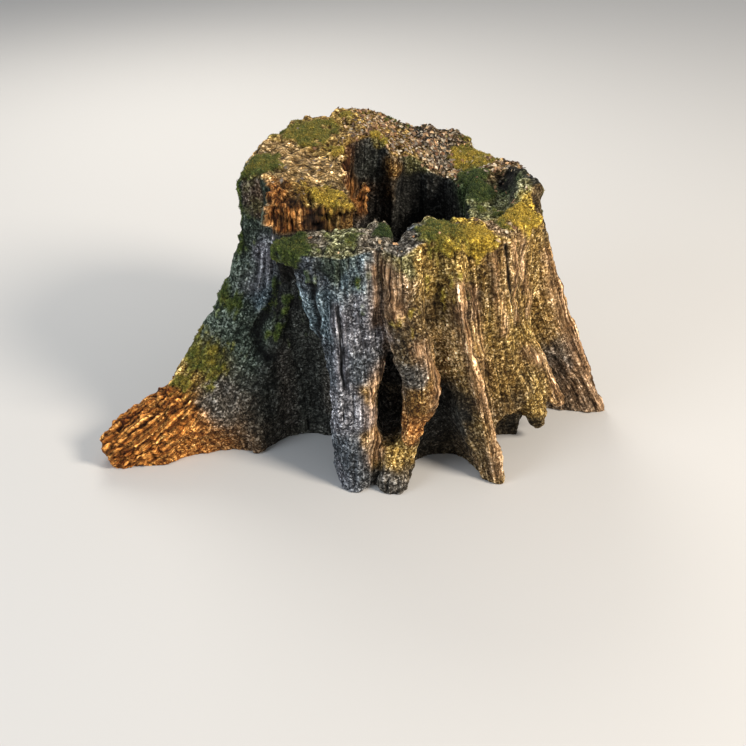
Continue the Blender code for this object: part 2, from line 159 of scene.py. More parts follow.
CREASES = {
    "split": Crease(0.012, 0.0028, 0.5, (
        (-0.042, -0.318, 0.56), (-0.032, -0.323, 0.463), (-0.024, -0.327, 0.401),
        (-0.021, -0.331, 0.345), (-0.013, -0.335, 0.293),
    )),
    "ridge by split": Crease(-0.008, 0.012, 1.0, (
        (-0.018, -0.320, 0.52), (-0.010, -0.325, 0.46), (0.002, -0.330, 0.42),
    )),
    "ridge left of split": Crease(-0.004, 0.005, 0.9, (
        (-0.050, -0.320, 0.52), (-0.042, -0.320, 0.44), (-0.036, -0.33, 0.39),
    )),
    "hole rim": Crease(-0.003, 0.010, 1.0, (
        (-0.030, -0.335, 0.28), (-0.045, -0.330, 0.235), (-0.052, -0.335, 0.185),
        (-0.047, -0.340, 0.13), (-0.040, -0.345, 0.07),
    )),
    "curled rim": Crease(-0.003, 0.008, 0.9, (
        (0.048, -0.325, 0.345), (0.072, -0.325, 0.300), (0.094, -0.318, 0.250), (0.090, -0.325, 0.200),
    )),
    "root crack": Crease(0.011, 0.0045, 0.6, (
        (0.150, -0.290, 0.460), (0.160, -0.300, 0.400), (0.170, -0.300, 0.330),
        (0.190, -0.300, 0.250), (0.205, -0.300, 0.180),
    )),
    "root ridge": Crease(-0.006, 0.008, 0.8, (
        (0.132, -0.299, 0.471), (0.134, -0.304, 0.412), (0.156, -0.306, 0.330), (0.172, -0.310, 0.270),
        (0.200, -0.310, 0.182), (0.221, -0.313, 0.116), (0.230, -0.330, 0.030),
    )),
    "second root ridge": Crease(-0.005, 0.006, 0.7, (
        (0.172, -0.285, 0.440), (0.186, -0.285, 0.340), (0.214, -0.280, 0.240), (0.236, -0.285, 0.130),
    )),
    "left crease": Crease(0.012, 0.008, 0.0, (
        (-0.256, -0.198, 0.491), (-0.286, -0.159, 0.420), (-0.302, -0.149, 0.287), (-0.294, -0.175, 0.225),
    )),
    "left pale edge": Crease(-0.004, 0.008, 0.7, (
        (-0.268, -0.180, 0.520), (-0.288, -0.128, 0.450), (-0.305, -0.125, 0.380),
    )),
    "spike crest": Crease(-0.003, 0.010, 0.9, (
        (0.277, -0.190, 0.263), (0.330, -0.160, 0.202), (0.390, -0.145, 0.090),
    )),
    "right root crest": Crease(-0.004, 0.011, 0.8, (
        (0.345, -0.040, 0.420), (0.391, -0.036, 0.284), (0.449, -0.031, 0.151), (0.519, -0.033, 0.012),
    )),
    "left column crack": Crease(0.006, 0.004, 0.8, (
        (-0.120, -0.320, 0.430), (-0.112, -0.325, 0.330), (-0.108, -0.330, 0.250),
    )),
    "left column groove": Crease(0.007, 0.007, 0.0, (
        (-0.175, -0.300, 0.470), (-0.168, -0.300, 0.330), (-0.165, -0.305, 0.150),
    )),
    "body flute 1": Crease(0.006, 0.004, 0.3, (
        (0.225, -0.255, 0.540), (0.240, -0.245, 0.440), (0.262, -0.225, 0.340),
    )),
    "body flute 2": Crease(0.006, 0.004, 0.3, (
        (0.262, -0.220, 0.540), (0.276, -0.208, 0.450), (0.296, -0.185, 0.330),
    )),
    "body pipe 1": Crease(-0.005, 0.005, 0.6, (
        (0.208, -0.268, 0.530), (0.220, -0.262, 0.440), (0.240, -0.248, 0.330),
    )),
    "body pipe 2": Crease(-0.005, 0.005, 0.8, (
        (0.245, -0.240, 0.535), (0.258, -0.230, 0.440), (0.280, -0.210, 0.340),
    )),
    "body pipe 3": Crease(-0.005, 0.005, 0.7, (
        (0.280, -0.198, 0.535), (0.292, -0.188, 0.440), (0.310, -0.160, 0.330),
    )),
}

# How far creases and colour patches wander off their places, and how wide that noise is
CREASE_WANDER = 0.004
PATCH_WANDER = 0.014
WANDER_SIZE = 0.05

# Pale wood reaches this far past a crease, and breaks up along it
PALE_MARGIN = 0.008
PALE_BREAKS = 0.5
PALE_MOST = 1.3

# The wood's colours, linear. Black, near black and dusk serve mostly as painted shade in bays, recesses and
# the hollow
WOOD_COLOURS = {
    "black": (0.010, 0.009, 0.007),
    "near black": (0.022, 0.022, 0.019),
    "dusk": (0.036, 0.038, 0.032),
    "slate": (0.080, 0.090, 0.100),
    "grey": (0.105, 0.095, 0.080),
    "silver": (0.190, 0.190, 0.205),
    "pale silver": (0.400, 0.390, 0.430),
    "teal": (0.130, 0.170, 0.185),
    "dark green": (0.045, 0.058, 0.042),
    "grey green": (0.100, 0.125, 0.095),
    "moss": (0.045, 0.065, 0.024),
    "sage": (0.190, 0.190, 0.095),
    "olive": (0.135, 0.125, 0.055),
    "umber": (0.080, 0.054, 0.025),
    "earth": (0.160, 0.135, 0.100),
    "brown": (0.165, 0.112, 0.050),
    "tan": (0.265, 0.172, 0.060),
    "ochre": (0.335, 0.222, 0.070),
    "sand": (0.300, 0.210, 0.125),
    "straw": (0.480, 0.330, 0.155),
    "honey": (0.500, 0.315, 0.110),
    "gold moss": (0.380, 0.260, 0.045),
    "bronze": (0.150, 0.082, 0.024),
    "amber": (0.310, 0.145, 0.045),
    "orange": (0.450, 0.195, 0.045),
    "rust": (0.110, 0.048, 0.018),
    "dark rust": (0.028, 0.013, 0.005),
}


# Spots of colour on each zone of the skin: centre, reach and the name of the colour
# On the side, the cool greys and teals at the left and the warm tans and ochres at the right are partly the
# wood's colour and partly painted light: cool shade on the left, warm light on the right
SIDE_COLOURS = {
    "left crest": ((-0.31, -0.08, 0.58), 0.06, "dark green"),
    "left crest middle": ((-0.36, -0.11, 0.39), 0.05, "grey green"),
    "left shoulder": ((-0.38, -0.14, 0.31), 0.05, "grey green"),
    "left root top": ((-0.42, -0.16, 0.23), 0.04, "olive"),
    "left root upper": ((-0.46, -0.18, 0.19), 0.04, "ochre"),
    "left root rot": ((-0.51, -0.24, 0.13), 0.06, "orange"),
    "left root tip": ((-0.57, -0.27, 0.07), 0.06, "orange"),
    "left root front": ((-0.40, -0.20, 0.15), 0.04, "grey"),
    "left side edge": ((-0.285, -0.115, 0.46), 0.02, "silver"),
    "left side": ((-0.29, -0.13, 0.37), 0.04, "teal"),
    "left side low": ((-0.32, -0.16, 0.27), 0.05, "grey green"),
    # The bay at the left is dark with painted shade
    "bay in shade": ((-0.26, -0.14, 0.36), 0.05, "near black"),
    "bay wall": ((-0.23, -0.16, 0.22), 0.08, "dusk"),
    "bay top": ((-0.23, -0.17, 0.45), 0.03, "black"),
    "column top left": ((-0.18, -0.30, 0.49), 0.04, "slate"),
    "column top": ((-0.13, -0.31, 0.51), 0.03, "dark green"),
    "column top right": ((-0.08, -0.31, 0.50), 0.03, "teal"),
    # Painted shadow under the moss cushion
    "shadow under cushion": ((-0.215, -0.285, 0.495), 0.022, "black"),
    "left edge": ((-0.345, -0.09, 0.49), 0.035, "dark green"),
    "column left": ((-0.16, -0.30, 0.41), 0.05, "teal"),
    "column middle": ((-0.10, -0.32, 0.40), 0.04, "silver"),
    "column right": ((-0.06, -0.32, 0.37), 0.03, "silver"),
    "column low": ((-0.12, -0.32, 0.29), 0.05, "slate"),
    "column lower": ((-0.10, -0.33, 0.19), 0.05, "silver"),
    "column foot": ((-0.11, -0.34, 0.09), 0.05, "slate"),
    "column pale foot": ((-0.15, -0.35, 0.06), 0.03, "pale silver"),
    # Gold on the hole's left edge: partly the wood's colour, partly painted warm light
    "column gold edge": ((-0.055, -0.325, 0.22), 0.022, "honey"),
    "column gold knob": ((-0.045, -0.335, 0.12), 0.020, "honey"),
    "split ridge": ((-0.015, -0.315, 0.50), 0.02, "sand"),
    "middle pale": ((0.005, -0.325, 0.475), 0.02, "sand"),
    "middle top": ((0.02, -0.325, 0.53), 0.025, "olive"),
    "middle moss": ((0.01, -0.33, 0.41), 0.03, "umber"),
    "middle right": ((0.06, -0.29, 0.41), 0.03, "brown"),
    "middle lower": ((0.04, -0.335, 0.34), 0.03, "umber"),
    "middle grey": ((0.045, -0.34, 0.27), 0.025, "grey"),
    "curled gold": ((0.07, -0.335, 0.21), 0.03, "bronze"),
    "curled edge": ((0.092, -0.315, 0.25), 0.026, "honey"),
    "curled low": ((0.055, -0.33, 0.15), 0.03, "amber"),
    "stub gold": ((-0.005, -0.335, 0.08), 0.03, "ochre"),
    "stub grey": ((-0.01, -0.35, 0.02), 0.03, "grey"),
    "right top": ((0.06, -0.295, 0.53), 0.03, "ochre"),
    "right top moss": ((0.10, -0.29, 0.48), 0.04, "ochre"),
    "root crest top": ((0.15, -0.28, 0.43), 0.03, "umber"),
    "root crest": ((0.18, -0.27, 0.32), 0.03, "ochre"),
    "root low": ((0.21, -0.27, 0.16), 0.04, "tan"),
    "root foot": ((0.22, -0.33, 0.08), 0.04, "brown"),
    "root left side": ((0.13, -0.295, 0.32), 0.04, "straw"),
    # Painted shade in the cave behind the front root
    "front cave": ((0.11, -0.27, 0.15), 0.06, "near black"),
    "body middle": ((0.23, -0.24, 0.24), 0.06, "tan"),
    "body low": ((0.26, -0.24, 0.13), 0.05, "brown"),
    "body top": ((0.23, -0.25, 0.48), 0.05, "tan"),
    "body top right": ((0.29, -0.17, 0.46), 0.05, "tan"),
    "body right": ((0.33, -0.07, 0.32), 0.06, "tan"),
    "body centre": ((0.27, -0.19, 0.33), 0.06, "ochre"),
    "spike": ((0.33, -0.17, 0.20), 0.03, "ochre"),
    "spike tip": ((0.375, -0.145, 0.11), 0.03, "tan"),
    "tooth": ((0.31, -0.20, 0.13), 0.03, "ochre"),
    "right root": ((0.40, -0.025, 0.27), 0.035, "tan"),
    "right root middle": ((0.46, -0.02, 0.14), 0.04, "sand"),
    "right root low": ((0.51, -0.03, 0.03), 0.04, "earth"),
    # Painted shade on the right root's flank and in the bay beside it
    "right root side": ((0.40, -0.07, 0.14), 0.04, "grey"),
    "right bay": ((0.31, -0.09, 0.10), 0.05, "near black"),
    "right rim": ((0.34, -0.04, 0.55), 0.04, "umber"),
    "right rear": ((0.32, 0.16, 0.40), 0.09, "brown"),
    "right rear root": ((0.38, 0.22, 0.08), 0.07, "earth"),
    "rear right": ((0.18, 0.33, 0.35), 0.09, "earth"),
    "rear right root": ((0.19, 0.47, 0.08), 0.08, "earth"),
    "rear": ((-0.05, 0.35, 0.38), 0.10, "grey green"),
    "rear low": ((-0.06, 0.38, 0.10), 0.09, "earth"),
    "rear left": ((-0.26, 0.25, 0.36), 0.10, "grey green"),
    "rear left root": ((-0.40, 0.35, 0.08), 0.08, "earth"),
    "left rear": ((-0.35, 0.06, 0.38), 0.09, "grey green"),
    "left rear root": ((-0.42, 0.09, 0.08), 0.07, "earth"),
}

TOP_COLOURS = {
    "cushion": ((-0.22, -0.26, 0.55), 0.04, "moss"),
    "ledge left": ((-0.17, -0.25, 0.555), 0.03, "earth"),
    "ledge middle": ((-0.11, -0.25, 0.56), 0.03, "sage"),
    "ledge lump": ((-0.05, -0.26, 0.57), 0.03, "earth"),
    "ledge notch": ((0.02, -0.28, 0.565), 0.03, "grey"),
    "notch lump": ((0.04, -0.25, 0.57), 0.02, "slate"),
    "ledge right": ((0.09, -0.25, 0.57), 0.03, "olive"),
    "ledge gold": ((0.15, -0.25, 0.567), 0.04, "gold moss"),
    "ledge bare": ((0.22, -0.20, 0.566), 0.03, "sand"),
    "ledge yellow": ((0.29, -0.13, 0.56), 0.04, "gold moss"),
    "shelf": ((0.23, -0.06, 0.545), 0.05, "sage"),
    "ridge": ((0.18, 0.00, 0.56), 0.03, "moss"),
    "rear moss": ((0.18, 0.16, 0.57), 0.04, "brown"),
    "recess top": ((0.25, 0.09, 0.58), 0.03, "brown"),
    # Painted shade in the recess
    "recess dark": ((0.262, 0.035, 0.565), 0.028, "black"),
    "recess floor": ((0.26, 0.00, 0.55), 0.03, "moss"),
    "right rim": ((0.32, -0.03, 0.585), 0.03, "near black"),
    "block rear": ((-0.17, 0.14, 0.64), 0.05, "tan"),
    "peak": ((-0.10, 0.20, 0.65), 0.04, "ochre"),
    "litter left": ((-0.05, 0.14, 0.645), 0.05, "tan"),
    "litter middle": ((0.02, 0.19, 0.61), 0.05, "tan"),
    "litter dark": ((0.08, 0.23, 0.61), 0.05, "near black"),
    "litter right": ((0.11, 0.25, 0.606), 0.04, "umber"),
    "back edge": ((0.11, 0.17, 0.585), 0.03, "earth"),
    "block top": ((-0.20, 0.01, 0.62), 0.06, "straw"),
    "block top right": ((-0.15, 0.06, 0.63), 0.04, "ochre"),
    "block left": ((-0.28, -0.03, 0.62), 0.03, "olive"),
    "block face": ((-0.25, -0.17, 0.60), 0.03, "amber"),
    "block face right": ((-0.21, -0.18, 0.58), 0.03, "dark rust"),
    "block slope": ((-0.17, -0.16, 0.60), 0.03, "ochre"),
    "block slope right": ((-0.12, -0.15, 0.60), 0.03, "brown"),
}

INNER_COLOURS = {
    "deep": ((0.02, -0.05, 0.20), 0.14, "grey"),
    "behind the hole": ((0.00, -0.09, 0.15), 0.05, "straw"),
    "hole roof": ((-0.01, -0.28, 0.26), 0.016, "honey"),
    # The hollow's upper walls and the niche are near black: painted shade
    "deep upper": ((0.06, -0.02, 0.42), 0.10, "near black"),
    "back wall": ((0.085, 0.10, 0.50), 0.05, "near black"),
    "back wall top": ((0.06, 0.12, 0.58), 0.02, "olive"),
    "niche": ((-0.057, 0.105, 0.57), 0.03, "dusk"),
    "golden rib": ((-0.007, 0.088, 0.57), 0.014, "bronze"),
    "golden rib low": ((-0.012, 0.075, 0.52), 0.012, "bronze"),
    "block side": ((-0.108, 0.02, 0.60), 0.03, "rust"),
    "block side low": ((-0.10, 0.06, 0.53), 0.03, "amber"),
    "shard": ((-0.067, -0.055, 0.57), 0.022, "amber"),
    "block front": ((-0.21, -0.185, 0.56), 0.03, "amber"),
    "block front hollow": ((-0.175, -0.19, 0.550), 0.034, "dark rust"),
    "block front right": ((-0.12, -0.17, 0.56), 0.03, "bronze"),
    # Painted shade in the gap, the recess, on the hollow's right wall and in the notch
    "gap": ((-0.16, -0.20, 0.51), 0.03, "black"),
    "recess": ((0.26, 0.05, 0.57), 0.03, "black"),
    "ridge": ((0.17, 0.00, 0.53), 0.04, "moss"),
    "right wall": ((0.16, -0.06, 0.46), 0.04, "dusk"),
    # Ochre on the hole's left edge: partly the wood's colour, partly painted warm light
    "hole edge": ((-0.035, -0.30, 0.20), 0.030, "ochre"),
    "hole right edge": ((0.025, -0.30, 0.20), 0.022, "umber"),
    "notch": ((0.01, -0.20, 0.52), 0.03, "near black"),
}


# Patches of moss: centre, reach, fullness, and hue from deep green, 0, to gold, 1
MOSS = {
    "cushion": ((-0.215, -0.268, 0.553), 0.034, 1.15, 0.22),
    "ledge left": ((-0.15, -0.27, 0.555), 0.040, 0.50, 0.22),
    "ledge middle": ((-0.10, -0.26, 0.56), 0.035, 0.55, 0.28),
    "column drip left": ((-0.18, -0.31, 0.50), 0.035, 0.46, 0.15),
    "column drip right": ((-0.065, -0.315, 0.49), 0.026, 0.50, 0.20),
    "column drip low": ((-0.06, -0.32, 0.43), 0.022, 0.42, 0.20),
    "notch rim": ((-0.02, -0.24, 0.57), 0.025, 0.80, 0.10),
    "ledge right": ((0.09, -0.25, 0.57), 0.045, 0.85, 0.42),
    "ledge right lip": ((0.10, -0.295, 0.555), 0.022, 0.85, 0.85),
    "ledge gold": ((0.17, -0.26, 0.56), 0.034, 1.05, 0.97),
    "ledge far": ((0.22, -0.18, 0.565), 0.040, 0.55, 0.50),
    "ledge yellow": ((0.265, -0.155, 0.56), 0.034, 1.05, 0.97),
    "shelf": ((0.20, -0.08, 0.55), 0.055, 0.50, 0.40),
    "ridge": ((0.18, 0.00, 0.56), 0.045, 0.90, 0.05),
    "ridge rear": ((0.175, 0.07, 0.57), 0.040, 0.80, 0.08),
    "rear": ((0.18, 0.16, 0.57), 0.044, 1.10, 0.82),
    "block rear": ((-0.20, 0.14, 0.64), 0.060, 0.85, 0.55),
    "block left": ((-0.29, -0.03, 0.61), 0.040, 1.00, 0.45),
    "block slope": ((-0.14, -0.15, 0.60), 0.045, 0.62, 0.92),
    "block spots": ((-0.13, 0.05, 0.63), 0.025, 0.70, 0.75),
    "litter spots": ((-0.03, 0.12, 0.64), 0.022, 0.85, 0.72),
    "peak": ((-0.11, 0.22, 0.65), 0.030, 0.60, 0.70),
    "left crest": ((-0.315, -0.06, 0.56), 0.055, 0.64, 0.22),
    "left crest middle": ((-0.335, -0.08, 0.46), 0.050, 0.58, 0.22),
    "left crest low": ((-0.37, -0.12, 0.36), 0.050, 0.56, 0.28),
    "left root": ((-0.43, -0.16, 0.225), 0.050, 0.76, 0.52),
    "left root lower": ((-0.48, -0.185, 0.17), 0.030, 0.60, 0.60),
    "bay": ((-0.265, -0.145, 0.36), 0.050, 0.52, 0.16),
    "bay low": ((-0.25, -0.16, 0.28), 0.040, 0.48, 0.20),
    "middle": ((0.01, -0.33, 0.41), 0.030, 0.48, 0.72),
    "middle right": ((0.06, -0.30, 0.45), 0.040, 0.44, 0.62),
    "right top": ((0.11, -0.30, 0.46), 0.045, 0.44, 0.66),
    "right rim": ((0.33, 0.02, 0.52), 0.060, 0.45, 0.45),
    "rear right": ((0.22, 0.24, 0.52), 0.080, 0.80, 0.45),
    "rear middle": ((-0.02, 0.33, 0.54), 0.090, 0.85, 0.30),
    "rear left": ((-0.24, 0.23, 0.52), 0.090, 0.80, 0.25),
    "left rear": ((-0.33, 0.06, 0.45), 0.080, 0.70, 0.22),
    "rear right root": ((0.17, 0.42, 0.16), 0.060, 0.70, 0.55),
    "rear left root": ((-0.37, 0.32, 0.17), 0.060, 0.70, 0.50),
    "right rear root": ((0.36, 0.20, 0.16), 0.050, 0.65, 0.60),
}

# Moss colours, linear, from deep green to gold
MOSS_HUES = (0.0, 0.35, 0.65, 1.0)
MOSS_COLOURS = (
    (0.024, 0.042, 0.012),
    (0.085, 0.105, 0.024),
    (0.205, 0.165, 0.030),
    (0.440, 0.305, 0.045),
)

# How moss begins and is full, frays, runs down in streaks and shifts in hue, and how much the hollow lacks
MOSS_EDGE = (0.38, 0.62)
MOSS_FRAYING = 0.24
MOSS_STREAKS = 0.22
MOSS_HUE_SHIFT = 0.16
MOSS_LACK = 0.6

# Places where rot has split the wood into orange flakes along the grain, each a centre and a reach
ROT = {
    "block face": ((-0.24, -0.17, 0.59), 0.050),
    "block slope": ((-0.15, -0.165, 0.585), 0.045),
    "block side": ((-0.11, 0.02, 0.59), 0.045),
    "block side low": ((-0.10, 0.07, 0.53), 0.040),
    "left root": ((-0.50, -0.22, 0.13), 0.060),
    "left root tip": ((-0.58, -0.26, 0.07), 0.070),
    "shard": ((-0.07, -0.055, 0.56), 0.030),
}
ROT_EDGE = (0.35, 0.75)
ROT_FRAYING = 0.15


class Noise(NamedTuple):
    """A noise over the skin: its seed, its size in metres, its layers, and if it follows the grain."""

    seed: int
    size: float
    layers: int = 2
    fibrous: bool = False


NOISES = {
    "moss edges": Noise(11, 0.030, 3),
    "moss streaks": Noise(17, 0.016, fibrous=True),
    "moss hues": Noise(19, 0.022),
    "rot edges": Noise(23, 0.030),
    "furrows": Noise(31, 0.026, fibrous=True),
    "fibres": Noise(37, 0.0095, fibrous=True),
    "checks": Noise(41, 0.040, 1, fibrous=True),
    "open checks": Noise(43, 0.070, 1),
    "lumps": Noise(47, 0.055),
    "crust": Noise(53, 0.013),
    "crumbs": Noise(59, 0.024, 3),
    "rot flakes": Noise(61, 0.012, fibrous=True),
    "rot blocks": Noise(63, 0.030),
    "cushions": Noise(67, 0.014),
    "pale breaks": Noise(73, 0.012, fibrous=True),
    "streaks": Noise(90, 0.018, 3, fibrous=True),
    "blotches": Noise(94, 0.035),
    "mottling": Noise(97, 0.016),
}
CREASE_SEED = 70
PATCH_SEED = 80

# Gradient noise is drawn on this many cells a side, and this gain brings it to about -1 and 1
NOISE_SIZE = 64
NOISE_GAIN = 1.8

# Heights of the relief in metres, and the widths of its checks
SIDE_FURROW = 0.0046
SIDE_FIBRE = 0.0010
SIDE_CHECK = 0.0055
SIDE_LUMP = 0.0055
SIDE_CRUST = 0.0022
INNER_FURROW = 0.0050
INNER_FIBRE = 0.0020
INNER_LUMP = 0.0020
TOP_CRUMB = 0.0065
TOP_CRUST = 0.0016
ROT_FLAKE = 0.012
ROT_CRUMB = 0.002
ROT_FLAKE_MIDDLE = 0.6
ROT_FURROW_LOSS = 0.7
CUSHION_HEIGHT = 0.0045
CUSHION_SWELL = 0.0030
MOSS_RELIEF_LOSS = 0.6
CHECK_WIDTH = 0.07
CHECK_OPENING = (0.0, 0.35)

# Relief fades out this near the ground, and may leave the solid's box by this much
GROUND_FADE = 0.012
RELIEF_MARGIN = 0.004

# Wood that lost its crust is lighter. Pale worn wood is grey at the left and sandy at the right: partly its
# own colour, partly painted cool shade on the left and painted warm light on the right
BARE_EDGE = (0.45, 0.95)
BARE_MOST = 0.6
BARE_BLOTCHES = 0.5
BARE_LIGHT = 0.30
ROT_BARE = 0.9
WORN_MOST = 0.85
WORN_LEFT_COOL_SHADE = np.array((0.34, 0.33, 0.36))
WORN_RIGHT_WARM_LIGHT = np.array((0.54, 0.345, 0.205))
WORN_BORDER = (-0.09, -0.04)

# A patch of colour weighs its distance over its reach, squared, plus the core, to the power of the fade
PATCH_CORE = 0.12
PATCH_FADE = -3

# How much streaks, blotches and mottling change the light, in powers of e
STREAK_LIGHT = 0.16
BLOTCH_LIGHT = 0.30
MOTTLING_LIGHT = 0.45

# The texture swings light and dark by these powers of e, more in a colour's weaker channels and less on moss.
# It brightens the mean, so a share of the swing's square darkens that
SWING = 0.98
SWING_POWER = -0.30
SWING_RANGE = (0.45, 1.3)
SWING_DARKENING = 0.4
SWING_LOSS = 0.35
LEAST_LIGHT = 1e-4


class Dips(NamedTuple):
    """Dips of one size, for painted shade: rounds that fill them, depth in metres, darkness, and the depths
    that count.
    """

    rounds: int
    depth: float
    darkness: float
    limits: tuple


# Painted shade: dips and cracks darken the colour, and ridges get painted light
DIPS = (Dips(3, 0.0008, 0.46, (-0.9, 2.5)), Dips(16, 0.004, 0.40, (-0.7, 2.5)))
DIP_SHARE = 0.6
CRACK_PAINTED_SHADE = 2.4

# The materials' noises spread over this much either side of 0, and have so many cells a metre
FINE_SPREAD = 4.5
LICHEN_SPREAD = 1.7
COARSE_FIBRES = 80.0
FINE_FIBRES = 190.0
WIDE_CRACKS = 42.0
THIN_CRACKS = 95.0
GRIT = 80.0
LICHEN = 280.0
RINGS = 28.0
SAW_MARKS = (4.0, 160.0, 1.0)
MOSS_SPECKS = 420.0
LITTER_STAINS = 190.0

# Moss leaves: lengths in metres, widths in lengths, and how they lean, rise, bend and differ in colour
MOSS_TOP_LEAVES = 21000
MOSS_SIDE_LEAVES = 9000
LEAF_LENGTH = (0.0024, 0.0056)
LEAF_WIDTH = (0.34, 0.60)
LEAF_THIN_MOSS = 0.55
LEAF_LEAN = 0.55
LEAF_RISE = 0.25
LEAF_BEND = (0.0, 0.4)
LEAF_ROOT = 0.001
LEAF_HUE = 0.13
LEAF_LIGHT = 0.22
LEAF_RINGS = ((0.0, 1.0, 0.50), (0.55, 0.8, 1.0))
LEAF_TIP_LIGHT = 1.6

# Flakes of litter: sizes in metres, their rims' reach and curl in sizes, and how they tilt and vary
FLAKES = 1300
FLAKE_SIZE = (0.005, 0.015)
FLAKE_SIDES = 6
FLAKE_REACH = (0.30, 0.62)
FLAKE_CURL = (-0.02, 0.22)
FLAKE_NARROWNESS = 0.7
FLAKE_LIFT = 0.0008
FLAKE_TILT = 0.32
FLAKE_LIGHT = 0.25
FLAKE_COLOURS = np.array((
    (0.48, 0.33, 0.18),
    (0.34, 0.20, 0.10),
    (0.22, 0.11, 0.05),
    (0.54, 0.45, 0.32),
    (0.10, 0.06, 0.035),
    (0.20, 0.16, 0.12),
))

# Litter lies mostly behind the hollow, to the right of the block
LITTER_RIGHT = (-0.13, -0.05)
LITTER_BEHIND = (0.04, 0.12)
LITTER_ELSEWHERE = 0.04
LITTER_ON_MOSS = 0.15
LITTER_ON_ROT = 0.4

# Small pieces may leave the solid's box by this much
COVER_MARGIN = 0.012
COVER_SEED = 7

FLOOR_HALF = 40.0
FLOOR_HEIGHT = -0.001


def smoothstep(low, high, value):
    t = np.clip((value - low) / (high - low), 0.0, 1.0)
    return t * t * (3.0 - 2.0 * t)


def smooth_noise(points, seed):
    """Gradient noise with one feature to a unit, mostly within -1 and 1."""
    rng = np.random.default_rng(seed)
    slopes = rng.normal(size=(NOISE_SIZE, NOISE_SIZE, NOISE_SIZE, 3)).astype(np.float32)
    slopes /= np.linalg.norm(slopes, axis=3, keepdims=True)
    cell = np.floor(points).astype(int)
    inside = points - cell
    fade = inside**3 * (inside * (inside * 6.0 - 15.0) + 10.0)
    total = np.zeros(len(points))
    for corner in np.ndindex(2, 2, 2):
        index = (cell + corner) % NOISE_SIZE
        slope = slopes[index[:, 0], index[:, 1], index[:, 2]]
        weight = np.where(corner, fade, 1.0 - fade).prod(axis=1)
        total += weight * (slope * (inside - corner)).sum(axis=1)
    return NOISE_GAIN * total


def layered_noise(points, size, seed, layers=2):
    """Gradient noise of a feature size in metres, with finer layers on it."""
    return sum(smooth_noise(points * 2.0**k / size, seed + k) * 0.5**k for k in range(layers))


def line_distance(points, line):
    """Distance from each point to a polyline."""
    nearest = np.full(len(points), np.inf)
    for start, end in zip(line[:-1], line[1:]):
        start, along = np.array(start), np.subtract(end, start)
        t = np.clip((points - start) @ along / (along @ along), 0.0, 1.0)
        nearest = np.minimum(nearest, np.linalg.norm(points - start - t[:, None] * along, axis=1))
    return nearest


def spot(points, centre, reach):
    """1 at the centre, fading out over its reach."""
    gap = ((points - np.array(centre)) ** 2).sum(axis=1)
    return np.exp(-gap / (2.0 * reach**2))


def unrolled(points):
    """Points round the trunk laid out flat: along the girth, a little of their depth, and up."""
    girth = UNROLL_RADIUS * np.arctan2(points[:, 0], -points[:, 1])
    depth = UNROLL_DEPTH * np.hypot(points[:, 0], points[:, 1])
    return np.stack([girth, depth, points[:, 2]], axis=1)


def even_skin(node, voxel):
    """Points, quads and edges of an even skin over a CAD node."""
    mesh = bpy.data.meshes.new("skin_source")
    welded = bmesh.new()
    welded.from_mesh(node.data)
    bmesh.ops.remove_doubles(welded, verts=welded.verts, dist=1e-5)
    welded.to_mesh(mesh)
    welded.free()
    source = bpy.data.objects.new("skin_source", mesh)
    bpy.context.scene.collection.objects.link(source)
    remesh = source.modifiers.new("even", "REMESH")
    remesh.mode = "VOXEL"
    remesh.voxel_size = voxel
    evaluated = source.evaluated_get(bpy.context.evaluated_depsgraph_get())
    skin = bpy.data.meshes.new_from_object(evaluated)
    points = np.empty(len(skin.vertices) * 3)
    skin.vertices.foreach_get("co", points)
    quads = np.empty(len(skin.polygons) * 4, int)
    skin.polygons.foreach_get("vertices", quads)
    edges = np.empty(len(skin.edges) * 2, int)
    skin.edges.foreach_get("vertices", edges)
    bpy.data.objects.remove(source)
    bpy.data.meshes.remove(skin)
    return points.reshape(-1, 3), quads.reshape(-1, 4), edges.reshape(-1, 2)


def neighbour_mean(values, edges):
    """Each vertex's mean over its neighbours, for one column or several."""
    count = np.bincount(edges.ravel(), minlength=len(values))
    columns = []
    for column in values.reshape(len(values), -1).T:
        total = np.bincount(edges[:, 0], column[edges[:, 1]], len(values))
        total += np.bincount(edges[:, 1], column[edges[:, 0]], len(values))
        columns.append(total / count)
    return np.stack(columns, axis=1).reshape(values.shape)


def relax(values, edges, rounds, share=0.5):
    """The values after so many rounds, each a share of the way to the neighbours' mean."""
    for _ in range(rounds):
        values = values + share * (neighbour_mean(values, edges) - values)
    return values


def vertex_normals(points, quads):
    a, b, c, d = (points[quads[:, k]] for k in range(4))
    face = np.repeat(np.cross(c - a, d - b), 4, axis=0)
    normals = np.stack([np.bincount(quads.ravel(), face[:, k], len(points)) for k in range(3)], axis=1)
    return normals / np.maximum(np.linalg.norm(normals, axis=1, keepdims=True), 1e-12)


